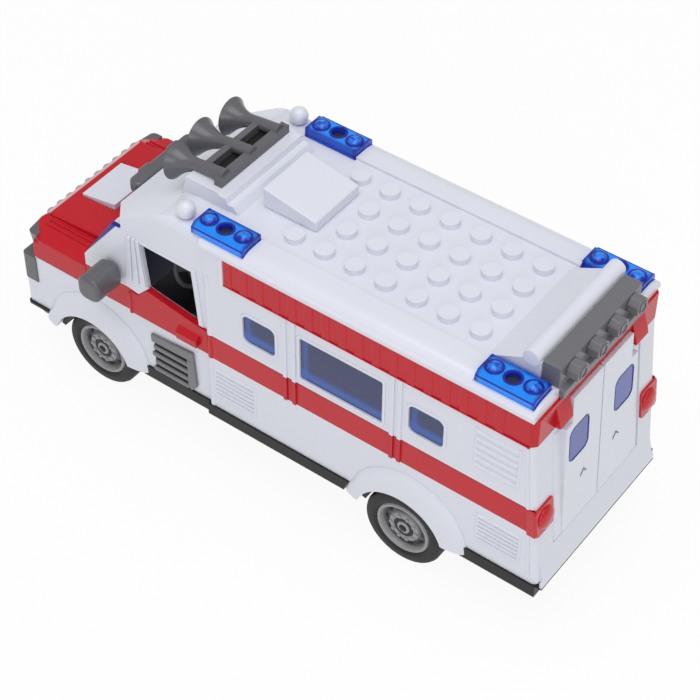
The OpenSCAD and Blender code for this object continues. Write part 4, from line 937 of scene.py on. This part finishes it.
# Rear doors: white panels on moulded pins at their outer edges. A raised skin on each panel
# thickens upwards and ends in a tab in front of the band, between its lugs.
SKIN_FOOT = 11.6
SKIN_HEIGHT = 58.4
PANE_AT = (13.5, 48.75)
PLUG_AT = (12.9, 48.75)
GRIP_Y = 9.9
GRIP_REACH = 1.7
skin_outline = [(0.3, SKIN_FOOT), (21.4, SKIN_FOOT), (21.4, 58.8), (17.7, 58.8), (17.7, 69.4), (0.3, 69.4)]
for sign, side_name in ((1, "left"), (-1, "right")):
    node = "rear_door_" + side_name
    glass = "door_window_" + side_name
    body = "door_" + side_name
    softened(node, white_plastic, 0.35)

    def on_door(u, v, w, sign=sign):
        """Across the door, up along it, and from its panel (0) to the face of its skin (1)."""
        thickness = 0.3 + 2.3 * (v - SKIN_FOOT) / SKIN_HEIGHT
        return on_rear(sign * u, v, w * thickness - 0.2 * (1 - w))

    def through_door(u, v, w, sign=sign):
        """Across the door, up along it, and millimetres out from the face of its panel."""
        return on_rear(sign * u, v, w)

    skin = bmesh.new()
    plate(skin, skin_outline, [window(*PANE_AT, 11.6, 14.6, 3.0)], 0.0, 1.0, on_door)
    make(node + "_skin", skin, white_plastic, body, 0.3)

    face = window(*PANE_AT, 11.5, 14.5, 2.95)
    plug = window(*PLUG_AT, 9.6, 13.6, 2.3)
    flange = window(*PLUG_AT, 12.2, 16.2, 2.4)
    steps = ((face, 0.93, on_door), (face, 0.0, on_door), (plug, 0.0, on_door),
             (plug, -2.4, through_door), (flange, -2.4, through_door), (flange, -3.4, through_door))
    pane = bmesh.new()
    lofted(pane, [[pane.verts.new(place(u, v, w)) for u, v in outline] for outline, w, place in steps])
    pane_piece = make(glass + "_pane", pane, tinted_glazing, body, 0.1)
    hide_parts(glass)

    # Painted shade: a dark blue ring round each door pane, where the wall of its recess shows dark.
    outer = window(*PANE_AT, 11.55, 14.55, 2.98)
    inner = window(*PANE_AT, 10.7, 13.7, 2.55)
    edge = bmesh.new()
    collar(edge, outer, inner, 0.6, 1.03, on_door)
    make(glass + "_edge", edge, shaded_blue, body, 0.05)

    # The grip is a raised chevron relief, coloured grey as painted shade of the moulded handle.
    grip = bmesh.new()
    for slope in (-1, 1):
        reach = GRIP_Y + slope * GRIP_REACH
        bar = [(GRIP_Y, 31.3), (GRIP_Y, 32.3), (reach, 30.3), (reach, 29.3)]
        prism(grip, bar, 0.5, 1.15, on_door)
    make(node + "_grip", grip, bar_grey, body, 0.1)

# Tyres: soft black PVC rings with a matt skin. Each is stretched over its rim and turns
# with it.
TYRE_BLACK = (0.013, 0.013, 0.014)
tyre_rubber = moulded("tyre_rubber", TYRE_BLACK, 0.60, 0.00008, 0.15, 1500)
softened("front_tyres", tyre_rubber, 0.3)
softened("rear_tyres", tyre_rubber, 0.3)


# Hidden works: plated screws and axles, nylon gears, circuit boards, speaker, cells and
# lamps. They keep their solids and are screwed or clipped to the chassis and the shell.
def plated(name, colour, rough):
    """Plated metal with fine uneven gloss."""
    material, shader, place = new_finish(name)
    fine = place.clouds(1800, 3)
    tone = fine.blended(tinted(colour, 0.85), tinted(colour, 1.1))
    feed(shader, Base_Color=tone, Roughness=rough + 0.2 * fine)
    shader.inputs["Metallic"].default_value = 1.0
    return material


steel = plated("plated_steel", (0.55, 0.55, 0.56), 0.22)
blackened = plated("blackened_steel", (0.06, 0.06, 0.10), 0.35)
nylon = moulded("natural_nylon", (0.70, 0.67, 0.58), 0.45)
laminate = moulded("circuit_laminate", (0.015, 0.13, 0.045), 0.35)
cone_black = moulded("speaker_black", (0.02, 0.02, 0.02), 0.6)
clear_led = clear_tint("clear_led", (0.85, 0.90, 1.0), 0.8, 0.05)
STEEL_NODES = ("battery_screw", "body_screws", "front_axle", "rear_axle", "flywheel", "button_spring",
               "battery_cells")
NYLON_NODES = ("gearbox_left", "gearbox_right", "idler_gear", "drive_gear")
for finish, nodes in ((blackened, ("beacon_screws",)), (steel, STEEL_NODES), (nylon, NYLON_NODES),
                      (laminate, ("circuit_board", "button_board")), (cone_black, ("speaker",)),
                      (clear_led, ("beacon_leds",))):
    for node in nodes:
        coated(node, finish)

# Studio: a white sweep under the toy that keeps a soft shadow, an even white room and two
# large soft lamps, one overhead and one from the left rear.
PAPER = ((0.90, 0.90, 0.90, 1), (0.93, 0.93, 0.93, 1))
PURE_WHITE = (1, 1, 1, 1)
ROOM_STRENGTH = 0.52
SWEEP_WHITE = 0.93
RAYS = ("Is Camera Ray", "Is Glossy Ray", "Is Transmission Ray")
floor_mesh = bpy.data.meshes.new("floor")
floor_mesh.from_pydata([(-6, -6, 0), (6, -6, 0), (6, 6, 0), (-6, 6, 0)], [], [(0, 1, 2, 3)])
floor = bpy.data.objects.new("floor", floor_mesh)
floor.location.z = -0.0002
bpy.context.scene.collection.objects.link(floor)
sweep, shader, place = new_finish("studio_sweep")
paper = place.clouds(30, 2)
feed(shader, Base_Color=paper.blended(*PAPER), Roughness=0.8 + 0.1 * paper)
ray = sweep.node_tree.nodes.new("ShaderNodeLightPath")
camera_seen, gloss_seen, glass_seen = (Wire(sweep.node_tree, ray.outputs[name]) for name in RAYS)
glow = place.add("ShaderNodeEmission", {}, {"Color": PURE_WHITE, "Strength": 1.0})
bare = Wire(sweep.node_tree, shader.outputs[0])
whiteness = (camera_seen + gloss_seen + glass_seen > 0.5) * SWEEP_WHITE
mixed = place.add("ShaderNodeMixShader", {}, {0: whiteness, 1: bare, 2: glow})
sweep.node_tree.links.new(mixed.socket, sweep.node_tree.nodes["Material Output"].inputs["Surface"])
floor_mesh.materials.append(sweep)

world = bpy.data.worlds.new("studio_room")
bpy.context.scene.world = world
world.use_nodes = True
room_light = world.node_tree.nodes["Background"]
room_light.inputs["Color"].default_value = PURE_WHITE
room_light.inputs["Strength"].default_value = ROOM_STRENGTH
room = Wire(world.node_tree, room_light.outputs[0])
backdrop = room.add("ShaderNodeBackground", {}, {"Color": PURE_WHITE, "Strength": 1.0})
camera_ray = room.add("ShaderNodeLightPath")
joined = room.add("ShaderNodeMixShader", {}, {0: camera_ray, 1: room, 2: backdrop})
world.node_tree.links.new(joined.socket, world.node_tree.nodes["World Output"].inputs["Surface"])


def soft_lamp(name, at, aim, size, watts):
    """A square soft lamp at one place, turned to another."""
    lamp = bpy.data.lights.new(name, "AREA")
    lamp.shape = "SQUARE"
    lamp.size = size
    lamp.energy = watts
    lamp_object = bpy.data.objects.new(name, lamp)
    lamp_object.location = at
    lamp_object.rotation_euler = (Vector(aim) - Vector(at)).to_track_quat("-Z", "Y").to_euler()
    bpy.context.scene.collection.objects.link(lamp_object)


soft_lamp("top_softbox", (-0.1, 0.2, 1.3), (0, 0, 0.05), 1.0, 7.6)
soft_lamp("side_softbox", (-0.9, 1.2, 0.7), (0, 0, 0.05), 0.8, 4.0)
bpy.context.scene.view_settings.view_transform = "Standard"

# Camera: it stands above the left rear of the toy, as for the photograph. The rows are the
# directions of the picture's right, of its top and back to the lens, then the lens itself.
RIGHT = (-0.8045193, -0.5938818, 0.0072824)
UP = (0.4278643, -0.5710277, 0.7006136)
BACK = (-0.4119232, 0.5667731, 0.7135037)
EYE = (-0.295010, 0.394231, 0.537955)
camera_data = bpy.data.cameras.new("camera")
camera_data.sensor_width = 36.0
camera_data.lens = 103.166
camera_data.clip_end = 20.0
camera = bpy.data.objects.new("camera", camera_data)
turn = Matrix((RIGHT, UP, BACK)).transposed().to_4x4()
camera.matrix_world = Matrix.Translation(EYE) @ turn
bpy.context.scene.collection.objects.link(camera)
bpy.context.scene.camera = camera
